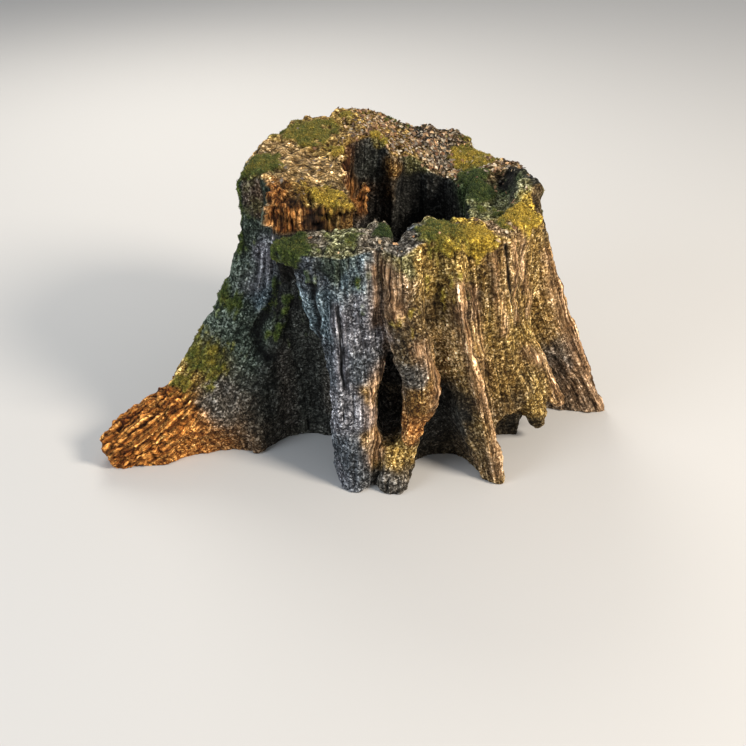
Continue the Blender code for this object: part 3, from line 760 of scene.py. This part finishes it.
class GrainField:
    """The direction of the wood's fibres through the stump, on a coarse grid."""

    def __init__(self, low, high):
        self.low = low - GRAIN_CELL
        self.shape = np.ceil((high - self.low) / GRAIN_CELL).astype(int) + 2
        axes = [self.low[k] + GRAIN_CELL * np.arange(self.shape[k]) for k in range(3)]
        nodes = np.stack(np.meshgrid(*axes, indexing="ij"), axis=-1).reshape(-1, 3)
        total = np.tile((0.0, 0.0, GRAIN_UPRIGHT), (len(nodes), 1))
        for line in FIBRE_LINES.values():
            for start, end in zip(line[:-1], line[1:]):
                along = np.subtract(end, start)
                length = np.linalg.norm(along)
                for t in np.arange(0.0, 1.0, GRAIN_SAMPLE / length):
                    near = spot(nodes, np.array(start) + t * along, GRAIN_SPREAD)
                    total += near[:, None] * along / length
        total /= np.linalg.norm(total, axis=1, keepdims=True)
        self.grid = total.reshape(*self.shape, 3)

    def at(self, points):
        """The unit direction at each point, mixed from the corners of its cell."""
        place = np.clip((points - self.low) / GRAIN_CELL, 0.0, self.shape - 1.001)
        cell = place.astype(int)
        inside = place - cell
        total = np.zeros_like(points)
        for corner in np.ndindex(2, 2, 2):
            i, j, k = (cell + corner).T
            weight = np.where(corner, inside, 1.0 - inside).prod(axis=1)
            total += weight[:, None] * self.grid[i, j, k]
        return total / np.linalg.norm(total, axis=1, keepdims=True)

    def trace(self, points):
        """Where each point's fibre meets the top, and how far along it the point is."""
        place = points.copy()
        travelled = np.zeros(len(points))
        going = np.flatnonzero(place[:, 2] < GRAIN_TOP)
        while len(going):
            ahead = self.at(place[going])
            ahead[:, 2] = np.maximum(ahead[:, 2], GRAIN_LEAST_RISE)
            place[going] += GRAIN_STEP * ahead
            travelled[going] += GRAIN_STEP
            going = going[place[going, 2] < GRAIN_TOP]
        over = place[:, 2] - GRAIN_TOP
        grain = np.column_stack([place[:, :2], (travelled - over) * GRAIN_SQUASH])
        lying = spot(points, BLOCK_TOP, LYING_REACH)
        grain[:, 0] -= LYING_SQUASH * lying * (points[:, 0] - BLOCK_TOP[0])
        return grain


class Skin:
    """The stump's fine skin with what the looks are worked out from."""

    def __init__(self, node):
        self.points, self.quads, self.edges = even_skin(node, SKIN_VOXEL)
        self.low, self.high = (np.array(corner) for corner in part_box("stump"))
        self.points = relax(self.points, self.edges, SKIN_SMOOTHING)
        self.normals = vertex_normals(self.points, self.quads)
        self.grain = GrainField(self.low, self.high).trace(self.points)
        self.surface = self.points
        self.facing = self.normals
        self.mark_zones()

    def mark_zones(self):
        """How far each vertex is on the level base, the top, the inner walls and the side."""
        x, y, z = self.points.T
        facing = self.normals
        radius = np.hypot(x, y)
        inward_x, inward_y = HOLLOW_AXIS[0] - x, HOLLOW_AXIS[1] - y
        away = np.maximum(np.hypot(inward_x, inward_y), 1e-6)
        inward = (facing[:, 0] * inward_x + facing[:, 1] * inward_y) / away
        up = relax(facing[:, 2], self.edges, ZONE_ROUNDS)
        front = relax(-facing[:, 1], self.edges, ZONE_ROUNDS)
        self.base = (z < BASE_HEIGHT) & (facing[:, 2] < BASE_FACING)
        self.top = smoothstep(*TOP_FACING, up) * smoothstep(*TOP_HEIGHT, z)
        inner = smoothstep(*INNER_FACING, inward) * smoothstep(*INNER_RADIUS, radius)
        inner *= smoothstep(*INNER_HEIGHT, z)
        deep = smoothstep(*DEEP_REACH, away) * smoothstep(*DEEP_RADIUS, radius) * smoothstep(*DEEP_HEIGHT, z)
        block = smoothstep(*BLOCK_HEIGHT, z) * smoothstep(*BLOCK_FRONT, y) * smoothstep(*BLOCK_SIDE, x)
        block *= np.maximum(smoothstep(*BLOCK_FACING, front), smoothstep(*BLOCK_RADIUS, radius))
        self.inner = np.maximum.reduce([inner, deep, block]) * (1.0 - self.top)
        self.side = np.clip(1.0 - self.top - self.inner, 0.0, 1.0)

    def noise(self, name):
        """One of the named noises at each vertex."""
        noise = NOISES[name]
        points = self.grain if noise.fibrous else self.points
        return layered_noise(points, noise.size, noise.seed, noise.layers)

    def within(self, points, margin):
        """The points, held within the solid's box and this margin round it."""
        return np.clip(points, self.low - margin, self.high + margin)

    def wander(self, reach, seed):
        """The skin's points, each moved by a noise up to about the reach."""
        moves = [layered_noise(self.points, WANDER_SIZE, seed + k) for k in range(3)]
        return self.points + reach * np.stack(moves, axis=1)


def crease_relief(skin):
    """Rise and paleness of the named cracks and ridges, and the painted shade inside the cracks that are cut
    in.
    """
    rise = np.zeros(len(skin.points))
    pale = np.zeros(len(skin.points))
    dark = np.zeros(len(skin.points))
    flat = unrolled(skin.wander(CREASE_WANDER, CREASE_SEED))
    for crease in CREASES.values():
        gap = line_distance(flat, unrolled(np.array(crease.points)))
        within = np.exp(-((gap / crease.width) ** 2))
        beside = np.exp(-((gap / (crease.width + PALE_MARGIN)) ** 2))
        rise -= crease.depth * within
        pale = np.maximum(pale, crease.paleness * beside)
        # Cut-in creases get painted shade along them
        if crease.depth > 0.0:
            dark = np.maximum(dark, within)
    pale *= np.clip(1.0 + PALE_BREAKS * skin.noise("pale breaks"), 0.0, PALE_MOST)
    return rise * skin.side, np.clip(pale, 0.0, 1.0) * skin.side, dark * skin.side


def moss_cover(skin):
    """How full the moss is at each vertex, and its hue."""
    full = np.zeros(len(skin.points))
    hue = np.zeros(len(skin.points))
    weight = np.full(len(skin.points), 1e-6)
    for centre, reach, fullness, patch_hue in MOSS.values():
        near = fullness * spot(skin.points, centre, reach)
        full = np.maximum(full, near)
        hue += near**2 * patch_hue
        weight += near**2
    frayed = MOSS_FRAYING * skin.noise("moss edges") + MOSS_STREAKS * skin.noise("moss streaks") * skin.side
    full = smoothstep(*MOSS_EDGE, full + frayed)
    hue = np.clip(hue / weight + MOSS_HUE_SHIFT * skin.noise("moss hues"), 0.0, 1.0)
    return full * (1.0 - MOSS_LACK * skin.inner), hue


def rot_cover(skin):
    rot = np.zeros(len(skin.points))
    for centre, reach in ROT.values():
        rot = np.maximum(rot, spot(skin.points, centre, reach))
    return smoothstep(*ROT_EDGE, rot + ROT_FRAYING * skin.noise("rot edges"))


def wood_relief(skin, rot, moss):
    """Height of the weathered wood's own relief."""
    furrow = 0.5 - np.abs(skin.noise("furrows"))
    fibre = skin.noise("fibres")
    opening = smoothstep(*CHECK_OPENING, skin.noise("open checks"))
    check = np.exp(-((skin.noise("checks") / CHECK_WIDTH) ** 2)) * opening
    lumps = skin.noise("lumps")
    crust = skin.noise("crust")
    crumbs = skin.noise("crumbs")
    flakes_of_rot = np.abs(skin.noise("rot flakes")) + np.abs(skin.noise("rot blocks")) - ROT_FLAKE_MIDDLE

    side = SIDE_FURROW * furrow + SIDE_FIBRE * fibre - SIDE_CHECK * check + SIDE_LUMP * lumps
    side += SIDE_CRUST * crust * (1.0 - rot)
    inner = INNER_FURROW * furrow * (1.0 - ROT_FURROW_LOSS * rot) + INNER_FIBRE * fibre + INNER_LUMP * lumps
    top = TOP_CRUMB * crumbs + TOP_CRUST * crust
    height = skin.side * side + skin.inner * inner + skin.top * top
    height += rot * (ROT_FLAKE * flakes_of_rot + ROT_CRUMB * crumbs)
    cushion = CUSHION_HEIGHT + CUSHION_SWELL * skin.noise("cushions")
    return height * (1.0 - MOSS_RELIEF_LOSS * moss) + moss * cushion


class Cover(NamedTuple):
    """What covers or marks each vertex, from 0 to 1, and the moss's hue; dark is painted shade in the cut-in
    cracks.
    """

    rot: np.ndarray
    moss: np.ndarray
    hue: np.ndarray
    pale: np.ndarray
    dark: np.ndarray


def shape_skin(skin):
    """Moves the skin's surface out by its relief, on the ground and close to the solid's box."""
    rot = rot_cover(skin)
    moss, hue = moss_cover(skin)
    creases, pale, dark = crease_relief(skin)
    height = wood_relief(skin, rot, moss) + creases
    near_ground = smoothstep(0.0, GROUND_FADE, skin.points[:, 2])
    sideways = skin.normals * np.column_stack([np.ones((len(height), 2)), near_ground])
    moved = skin.within(skin.points + sideways * height[:, None], RELIEF_MARGIN)
    moved[:, 2] = np.maximum(moved[:, 2], 0.0)
    moved[skin.base, 2] = 0.0
    skin.surface = moved
    skin.facing = vertex_normals(moved, skin.quads)
    return Cover(rot, moss * (1.0 - pale), hue, pale, dark)


def shade(skin, dark):
    """Painted shade and light: how much the dips and cracks of the skin darken each vertex, and the ridges
    lighten it.
    """
    darkness = CRACK_PAINTED_SHADE * dark
    for dips in DIPS:
        filled = relax(skin.surface, skin.edges, dips.rounds, DIP_SHARE)
        depth = ((filled - skin.surface) * skin.facing).sum(axis=1)
        darkness += dips.darkness * np.clip(depth / dips.depth, *dips.limits)
    return np.exp(-darkness)


def blended_colour(points, patches):
    """Each point's colour, mixed from the patches by how near they are."""
    total = np.zeros((len(points), 3))
    weight = np.zeros(len(points))
    for centre, reach, colour in patches.values():
        gap = ((points - np.array(centre)) ** 2).sum(axis=1) / reach**2
        near = (gap + PATCH_CORE) ** PATCH_FADE
        total += near[:, None] * np.array(WOOD_COLOURS[colour])
        weight += near
    return total / weight[:, None]


def zone_colours(skin):
    """The skin's colour from its zones' patches, whose borders wander."""
    wandering = skin.wander(PATCH_WANDER, PATCH_SEED)
    zones = ((skin.side, SIDE_COLOURS), (skin.top, TOP_COLOURS), (skin.inner, INNER_COLOURS))
    return sum(share[:, None] * blended_colour(wandering, patches) for share, patches in zones)


def moss_colour(hue):
    return np.stack([np.interp(hue, MOSS_HUES, channel) for channel in zip(*MOSS_COLOURS)], axis=1)


def colour_skin(skin, cover):
    """Mean colour, swing of light and dark, and how bare and fibrous the wood is, at each vertex."""
    moss = cover.moss[:, None]
    tint = zone_colours(skin)
    streaks = skin.noise("streaks")
    blotches = skin.noise("blotches")
    bare = BARE_MOST * smoothstep(*BARE_EDGE, streaks + BARE_BLOTCHES * blotches) * skin.side
    tint *= np.exp(BARE_LIGHT * bare)[:, None]
    # Grey at the left and sandy at the right: partly painted cool shade and painted warm light
    right = smoothstep(*WORN_BORDER, skin.points[:, 0])[:, None]
    worn = (1.0 - right) * WORN_LEFT_COOL_SHADE + right * WORN_RIGHT_WARM_LIGHT
    tint += WORN_MOST * cover.pale[:, None] * (worn - tint)
    mottling = np.maximum(cover.rot, skin.top) * skin.noise("mottling")
    light = STREAK_LIGHT * streaks * (1.0 - skin.top) + BLOTCH_LIGHT * blotches + MOTTLING_LIGHT * mottling
    tint *= np.exp(light)[:, None]
    tint += moss * (moss_colour(cover.hue) - tint)
    # Painted shade in the dips and cracks, and painted light on the ridges
    tint *= shade(skin, cover.dark)[:, None]

    mean = np.maximum(tint.mean(axis=1, keepdims=True), LEAST_LIGHT)
    swing = np.clip(SWING * (np.maximum(tint, LEAST_LIGHT) / mean) ** SWING_POWER, *SWING_RANGE)
    tint *= np.exp(-SWING_DARKENING * swing**2)
    swing *= 1.0 - SWING_LOSS * moss
    planks = spot(skin.points, BLOCK_TOP, PLANK_REACH) * skin.top
    bare = np.clip(np.maximum(bare, cover.pale) + ROT_BARE * cover.rot + planks, 0.0, 1.0)
    return tint, swing, bare * (1.0 - cover.moss)


def add_attribute(mesh, name, values, kind="FLOAT"):
    """Gives each vertex a value, a vector or a colour for the materials."""
    if kind == "FLOAT_COLOR":
        values = np.column_stack([values, np.ones(len(values))])
    field = {"FLOAT": "value", "FLOAT_VECTOR": "vector", "FLOAT_COLOR": "color"}[kind]
    attribute = mesh.attributes.new(name, kind, "POINT")
    attribute.data.foreach_set(field, values.astype(np.float32).ravel())


def mesh_piece(name, points, faces, material, normals=None, smooth=True):
    """An object from an array of points and an array of faces with equal corner counts."""
    mesh = bpy.data.meshes.new(name)
    corners = faces.shape[1]
    mesh.vertices.add(len(points))
    mesh.vertices.foreach_set("co", points.astype(np.float32).ravel())
    mesh.loops.add(faces.size)
    mesh.loops.foreach_set("vertex_index", faces.astype(np.int32).ravel())
    mesh.polygons.add(len(faces))
    mesh.polygons.foreach_set("loop_start", np.arange(0, faces.size, corners, dtype=np.int32))
    mesh.polygons.foreach_set("loop_total", np.full(len(faces), corners, dtype=np.int32))
    mesh.update(calc_edges=True)
    if smooth:
        mesh.shade_smooth()
    if normals is not None:
        mesh.normals_split_custom_set_from_vertices(normals.tolist())
    mesh.materials.append(material)
    obj = bpy.data.objects.new(name, mesh)
    bpy.context.scene.collection.objects.link(obj)
    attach(obj, "root")
    return obj


def skin_piece(name, skin, chosen, attributes, material):
    """The part of the skin over the chosen faces, as its own piece."""
    used, faces = np.unique(skin.quads[chosen], return_inverse=True)
    piece = mesh_piece(name, skin.surface[used], faces.reshape(-1, 4), material, skin.facing[used])
    for label, (values, kind) in attributes.items():
        add_attribute(piece.data, label, values[used], kind)
    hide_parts("stump")


# Materials


class Shading:
    """A material's node tree with short ways to add to it."""

    def __init__(self, name):
        self.material = bpy.data.materials.new(name)
        self.material.use_nodes = True
        self.tree = self.material.node_tree
        self.shader = self.tree.nodes["Principled BSDF"]

    def node(self, kind, inputs, **settings):
        """A node with its settings, and its inputs linked or set."""
        made = self.tree.nodes.new(kind)
        for key, value in settings.items():
            setattr(made, key, value)
        for key, value in inputs.items():
            if isinstance(value, bpy.types.NodeSocket):
                self.tree.links.new(value, made.inputs[key])
            else:
                made.inputs[key].default_value = value
        return made

    def attribute(self, name, output):
        return self.node("ShaderNodeAttribute", {}, attribute_name=name).outputs[output]

    def maths(self, operation, first, second=0.0, third=0.0):
        return self.node("ShaderNodeMath", {0: first, 1: second, 2: third}, operation=operation).outputs[0]

    def weighted(self, value, weight, rest=0.0):
        """The value times the weight, and the rest on top."""
        return self.maths("MULTIPLY_ADD", value, weight, rest)

    def between(self, share, at_none, at_full):
        """From one number to another as the share goes from 0 to 1."""
        return self.weighted(share, at_full - at_none, at_none)

    def noise(self, vector, scale, detail=3.0, roughness=0.6):
        """Noise round 0 with a spread near 1."""
        inputs = {"Vector": vector, "Scale": scale, "Detail": detail, "Roughness": roughness}
        return self.between(self.node("ShaderNodeTexNoise", inputs).outputs["Fac"], -FINE_SPREAD, FINE_SPREAD)

    def cracks(self, vector, scale, width):
        """1 along thin wandering lines, where a noise passes through 0, and 0 away from them."""
        gap = self.maths("ABSOLUTE", self.noise(vector, scale, detail=2.0))
        limits = {"Value": gap, "From Max": width, "To Min": 1.0, "To Max": 0.0}
        return self.node("ShaderNodeMapRange", limits).outputs[0]

    def grains(self, vector, scale):
        """Grains of light and dark round 0, with a spread near 1."""
        cells = self.node("ShaderNodeTexVoronoi", {"Vector": vector, "Scale": scale})
        value = self.node("ShaderNodeSeparateColor", {"Color": cells.outputs["Color"]}).outputs[0]
        return self.between(value, -LICHEN_SPREAD, LICHEN_SPREAD)

    def place(self):
        return self.node("ShaderNodeTexCoord", {}).outputs["Object"]

    def swung(self, tint, swing, amount):
        """The tint times e to the power of swing times amount, for each channel."""
        parts = self.node("ShaderNodeSeparateColor", {"Color": swing})
        factors = [self.maths("EXPONENT", self.weighted(parts.outputs[k], amount)) for k in range(3)]
        factor = self.node("ShaderNodeCombineColor", dict(enumerate(factors))).outputs[0]
        return self.node("ShaderNodeVectorMath", {0: tint, 1: factor}, operation="MULTIPLY").outputs[0]

    def shaded(self, tint, change, amount):
        """The tint times e to the power of the change times the amount."""
        factor = self.maths("EXPONENT", self.weighted(change, amount))
        return self.node("ShaderNodeVectorMath", {0: tint, "Scale": factor}, operation="SCALE").outputs[0]

    def finish(self, colour, roughness, height, depth, strength):
        """Links the shader's colour and roughness, and a bump of a depth in metres."""
        bump = self.node("ShaderNodeBump", {"Height": height, "Distance": depth, "Strength": strength})
        self.tree.links.new(bump.outputs["Normal"], self.shader.inputs["Normal"])
        self.tree.links.new(colour, self.shader.inputs["Base Color"])
        self.tree.links.new(roughness, self.shader.inputs["Roughness"])
        return self.material


def wood_material():
    """Weathered wood: fibres where it is bare, a speckled crust of lichen and dirt elsewhere."""
    wood = Shading("weathered_wood")
    grain = wood.attribute("grain", "Vector")
    bare = wood.attribute("bare", "Fac")
    coarse = wood.weighted(wood.noise(grain, COARSE_FIBRES, detail=2.0), weight=0.6)
    fibres = wood.weighted(wood.noise(grain, FINE_FIBRES, roughness=0.65), 0.8, rest=coarse)
    grit = wood.weighted(wood.noise(wood.place(), GRIT, roughness=0.7), weight=0.5)
    crust = wood.weighted(wood.grains(wood.place(), LICHEN), 0.9, rest=grit)
    fibrous = wood.between(bare, at_none=0.30, at_full=1.00)
    crusted = wood.between(bare, at_none=1.00, at_full=0.15)
    texture = wood.weighted(fibres, fibrous, rest=wood.weighted(crust, crusted))
    wide_cracks = wood.cracks(grain, WIDE_CRACKS, width=0.16)
    cracks = wood.maths("ADD", wide_cracks, wood.cracks(grain, THIN_CRACKS, width=0.20))
    # The cracks darken the colour as painted shade inside them
    amount = wood.weighted(wood.weighted(cracks, fibrous), -1.9, rest=texture)
    colour = wood.swung(wood.attribute("tint", "Color"), wood.attribute("swing", "Color"), amount)
    wood.shader.inputs["Specular IOR Level"].default_value = 0.25
    roughness = wood.between(bare, at_none=0.92, at_full=0.80)
    return wood.finish(colour, roughness, amount, depth=0.0026, strength=0.9)


def base_material():
    """The level cut through the roots: saw marks over rings."""
    base = Shading("sawn_base")
    place = base.place()
    inputs = {"Vector": place, "Scale": RINGS, "Distortion": 3.0, "Detail": 3.0, "Detail Scale": 1.5}
    rings = base.node("ShaderNodeTexWave", inputs, wave_type="RINGS", rings_direction="Z").outputs["Fac"]
    stretched = base.node("ShaderNodeMapping", {"Vector": place, "Scale": SAW_MARKS}).outputs[0]
    marks = base.noise(stretched, scale=1.0)
    ramp = base.node("ShaderNodeValToRGB", {"Fac": rings})
    dark, light = ramp.color_ramp.elements
    dark.color = (0.150, 0.098, 0.052, 1.0)
    light.color = (0.300, 0.215, 0.125, 1.0)
    colour = base.shaded(ramp.outputs["Color"], marks, amount=0.18)
    roughness = base.between(rings, at_none=0.82, at_full=0.90)
    return base.finish(colour, roughness, marks, depth=0.0008, strength=0.5)


def moss_material():
    """Moss leaves: a tint for each leaf, with fine specks."""
    moss = Shading("moss")
    specks = moss.noise(moss.place(), MOSS_SPECKS, detail=2.0)
    colour = moss.shaded(moss.attribute("tint", "Color"), specks, amount=0.28)
    moss.shader.inputs["Specular IOR Level"].default_value = 0.3
    roughness = moss.weighted(specks, 0.04, rest=0.78)
    return moss.finish(colour, roughness, specks, depth=0.0006, strength=0.4)


def crumb_material():
    """Dead leaves and flakes of bark: a tint for each flake, with stains."""
    crumb = Shading("litter")
    stains = crumb.noise(crumb.place(), LITTER_STAINS)
    colour = crumb.shaded(crumb.attribute("tint", "Color"), stains, amount=0.32)
    roughness = crumb.weighted(stains, 0.05, rest=0.80)
    return crumb.finish(colour, roughness, stains, depth=0.0008, strength=0.5)


# Moss leaves and flakes


def face_samples(skin, density, count, rng):
    """Random places on the skin, more of them where the density is high: point and first corner of each."""
    a, b, c, d = (skin.surface[skin.quads[:, k]] for k in range(4))
    area = 0.5 * np.linalg.norm(np.cross(c - a, d - b), axis=1)
    chance = area * density[skin.quads].mean(axis=1)
    chosen = rng.choice(len(skin.quads), count, p=chance / chance.sum())
    u, v = rng.random((2, count, 1))
    at = (1 - u) * ((1 - v) * a[chosen] + v * d[chosen]) + u * ((1 - v) * b[chosen] + v * c[chosen])
    return at, skin.quads[chosen, 0]


def side_vectors(ahead, rng):
    """Two unit vectors across each direction, turned at random."""
    other = rng.normal(size=ahead.shape)
    across = np.cross(ahead, other)
    across /= np.linalg.norm(across, axis=1, keepdims=True)
    return across, np.cross(ahead, across)


def spines(at, ahead, length, width, rng, bend):
    """Thin three-sided spines, bent once: points, seven to a spine, and triangles."""
    across, rise = side_vectors(ahead, rng)
    rings = []
    for share, size, _ in LEAF_RINGS:
        centre = at + ahead * (length * share)[:, None] + rise * (bend * length * share**2)[:, None]
        for turn in (0.0, math.tau / 3, 2 * math.tau / 3):
            offset = math.cos(turn) * across + math.sin(turn) * rise
            rings.append(centre + offset * (width * size / 2)[:, None])
    tip = at + ahead * length[:, None] + rise * (bend * length)[:, None]
    points = np.stack([*rings, tip], axis=1)
    pattern = []
    for side in range(3):
        after = (side + 1) % 3
        pattern += [(side, after, 3 + after), (side, 3 + after, 3 + side), (3 + side, 3 + after, 6)]
    return points.reshape(-1, 3), repeated(pattern, 7, len(at))


def repeated(pattern, step, count):
    """The pattern's triangles again for each block of so many points."""
    return (np.array(pattern)[None] + step * np.arange(count)[:, None, None]).reshape(-1, 3)


def moss_leaves(name, skin, density, hue, count, material, rng):
    """A carpet of short spines that stand up from the skin where moss grows, darker at the root."""
    at, corner = face_samples(skin, density, count, rng)
    ahead = skin.facing[corner] + (0.0, 0.0, LEAF_RISE) + LEAF_LEAN * rng.normal(size=at.shape)
    ahead /= np.linalg.norm(ahead, axis=1, keepdims=True)
    fullness = LEAF_THIN_MOSS + (1.0 - LEAF_THIN_MOSS) * density[corner]
    length = rng.uniform(*LEAF_LENGTH, count) * fullness
    width = length * rng.uniform(*LEAF_WIDTH, count)
    bend = rng.uniform(*LEAF_BEND, count)
    leaf_points, faces = spines(at - ahead * LEAF_ROOT, ahead, length, width, rng, bend)
    leaf_points = skin.within(leaf_points, COVER_MARGIN)
    leaf_points[:, 2] = np.maximum(leaf_points[:, 2], 0.0)
    piece = mesh_piece(name, leaf_points, faces, material)
    tone = moss_colour(np.clip(hue[corner] + LEAF_HUE * rng.normal(size=count), 0.0, 1.0))
    tone *= np.exp(LEAF_LIGHT * rng.normal(size=(count, 1)))
    rooted = np.array([light for _, _, light in LEAF_RINGS for _ in range(3)] + [LEAF_TIP_LIGHT])
    tones = tone[:, None, :] * rooted[None, :, None]
    add_attribute(piece.data, "tint", tones.reshape(-1, 3), "FLOAT_COLOR")


def flakes(name, skin, density, count, material, rng):
    """Bent flat flakes that lie on the skin, such as dead leaves and bark."""
    at, corner = face_samples(skin, density, count, rng)
    up = skin.facing[corner] + FLAKE_TILT * rng.normal(size=at.shape)
    up /= np.linalg.norm(up, axis=1, keepdims=True)
    across, along = side_vectors(up, rng)
    size = rng.uniform(*FLAKE_SIZE, count)
    ring = [at + up * FLAKE_LIFT]
    for side in range(FLAKE_SIDES):
        turn = math.tau * side / FLAKE_SIDES
        reach = size * rng.uniform(*FLAKE_REACH, count)
        curl = size * rng.uniform(*FLAKE_CURL, count)
        outward = across * math.cos(turn) * FLAKE_NARROWNESS + along * math.sin(turn)
        ring.append(at + outward * reach[:, None] + up * curl[:, None])
    flake_points = skin.within(np.stack(ring, axis=1).reshape(-1, 3), COVER_MARGIN)
    pattern = [(0, 1 + side, 1 + (side + 1) % FLAKE_SIDES) for side in range(FLAKE_SIDES)]
    faces = repeated(pattern, FLAKE_SIDES + 1, count)
    piece = mesh_piece(name, flake_points, faces, material, smooth=False)
    tone = FLAKE_COLOURS[rng.integers(0, len(FLAKE_COLOURS), count)]
    tone = tone * np.exp(FLAKE_LIGHT * rng.normal(size=(count, 1)))
    add_attribute(piece.data, "tint", np.repeat(tone, FLAKE_SIDES + 1, axis=0), "FLOAT_COLOR")


# Stage, light and camera


def floor():
    material = Shading("pale_floor")
    material.shader.inputs["Base Color"].default_value = (0.62, 0.61, 0.59, 1.0)
    material.shader.inputs["Roughness"].default_value = 0.95
    mesh = bpy.data.meshes.new("floor")
    turns = ((-1, -1), (1, -1), (1, 1), (-1, 1))
    mesh.from_pydata([(x * FLOOR_HALF, y * FLOOR_HALF, FLOOR_HEIGHT) for x, y in turns], [], [(0, 1, 2, 3)])
    mesh.materials.append(material.material)
    obj = bpy.data.objects.new("floor", mesh)
    bpy.context.scene.collection.objects.link(obj)


def softbox(name, place, aim, size, power, colour):
    """A round area light, aimed at a height over the middle of the trunk."""
    data = bpy.data.lights.new(name, "AREA")
    data.shape = "DISK"
    data.size = size
    data.energy = power
    data.color = colour
    obj = bpy.data.objects.new(name, data)
    bpy.context.scene.collection.objects.link(obj)
    obj.location = place
    towards = np.subtract((0.0, 0.0, aim), place)
    azimuth = math.atan2(towards[1], towards[0])
    dip = math.atan2(-towards[2], math.hypot(towards[0], towards[1]))
    obj.rotation_euler = (math.pi / 2 - dip, 0.0, azimuth - math.pi / 2)


def lights():
    """A warm key from the right, a cool fill from the left, a rim light from behind and a pale sky."""
    softbox("key", (3.9, -2.5, 3.6), aim=0.3, size=1.7, power=350.0, colour=(1.0, 0.90, 0.78))
    softbox("fill", (-3.4, -2.6, 2.2), aim=0.3, size=2.6, power=85.0, colour=(0.80, 0.89, 1.0))
    softbox("rim", (-1.0, 2.6, 2.4), aim=0.4, size=2.0, power=60.0, colour=(1.0, 0.95, 0.88))
    world = bpy.data.worlds.new("studio")
    world.use_nodes = True
    sky = world.node_tree.nodes["Background"]
    sky.inputs["Color"].default_value = (0.90, 0.94, 1.0, 1.0)
    sky.inputs["Strength"].default_value = 0.40
    bpy.context.scene.world = world


def camera():
    data = bpy.data.cameras.new("camera")
    data.sensor_width = SENSOR_WIDTH
    data.lens = SENSOR_WIDTH / 2 / math.tan(CAMERA_WIDTH / 2)
    obj = bpy.data.objects.new("camera", data)
    obj.location = CAMERA_PLACE
    obj.rotation_euler = (math.pi / 2 - CAMERA_DIP, 0.0, 0.0)
    bpy.context.scene.collection.objects.link(obj)
    bpy.context.scene.camera = obj
    bpy.context.scene.view_settings.view_transform = "Standard"


def corners(box):
    return [list(corner) for corner in box]


def wood_pieces(skin, attributes):
    """The skin in seven pieces: four quarters of the side, the top, the inner walls and the base."""
    base = skin.base[skin.quads].all(axis=1)
    top = ~base & (skin.top[skin.quads].mean(axis=1) > 0.5)
    inner = ~base & ~top & (skin.inner[skin.quads].mean(axis=1) > 0.5)
    side = ~(base | top | inner)
    left, front = (skin.surface[skin.quads[:, 0], :2] < 0.0).T
    parts = {
        "front_left": side & front & left,
        "front_right": side & front & ~left,
        "rear_left": side & ~front & left,
        "rear_right": side & ~front & ~left,
        "broken_top": top,
        "hollow_wall": inner,
    }
    wood = wood_material()
    for name, chosen in parts.items():
        skin_piece(name, skin, chosen, attributes, wood)
    skin_piece("cut_base", skin, base, {}, base_material())


def dress(frame):
    skin = Skin(frame["nodes"]["stump"])
    cover = shape_skin(skin)
    tint, swing, bare = colour_skin(skin, cover)
    attributes = {
        "tint": (tint, "FLOAT_COLOR"),
        "swing": (swing, "FLOAT_COLOR"),
        "grain": (skin.grain, "FLOAT_VECTOR"),
        "bare": (bare, "FLOAT"),
    }
    wood_pieces(skin, attributes)

    rng = np.random.default_rng(COVER_SEED)
    share = 1.0
    leaves = moss_material()
    carpets = (("moss_top", skin.top, MOSS_TOP_LEAVES), ("moss_side", 1.0 - skin.top, MOSS_SIDE_LEAVES))
    for name, zone, count in carpets:
        density = cover.moss**2 * zone + 1e-9
        moss_leaves(name, skin, density, cover.hue, int(count * share), leaves, rng)

    x, y, _ = skin.surface.T
    behind = smoothstep(*LITTER_RIGHT, x) * smoothstep(*LITTER_BEHIND, y)
    lying = skin.top * (LITTER_ELSEWHERE + behind) * (1.0 - (1.0 - LITTER_ON_MOSS) * cover.moss)
    lying = lying * (1.0 - (1.0 - LITTER_ON_ROT) * cover.rot) + 1e-9
    flakes("litter", skin, lying, int(FLAKES * share), crumb_material(), rng)


def main():
    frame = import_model()
    camera()
    lights()
    floor()
    dress(frame)


main()
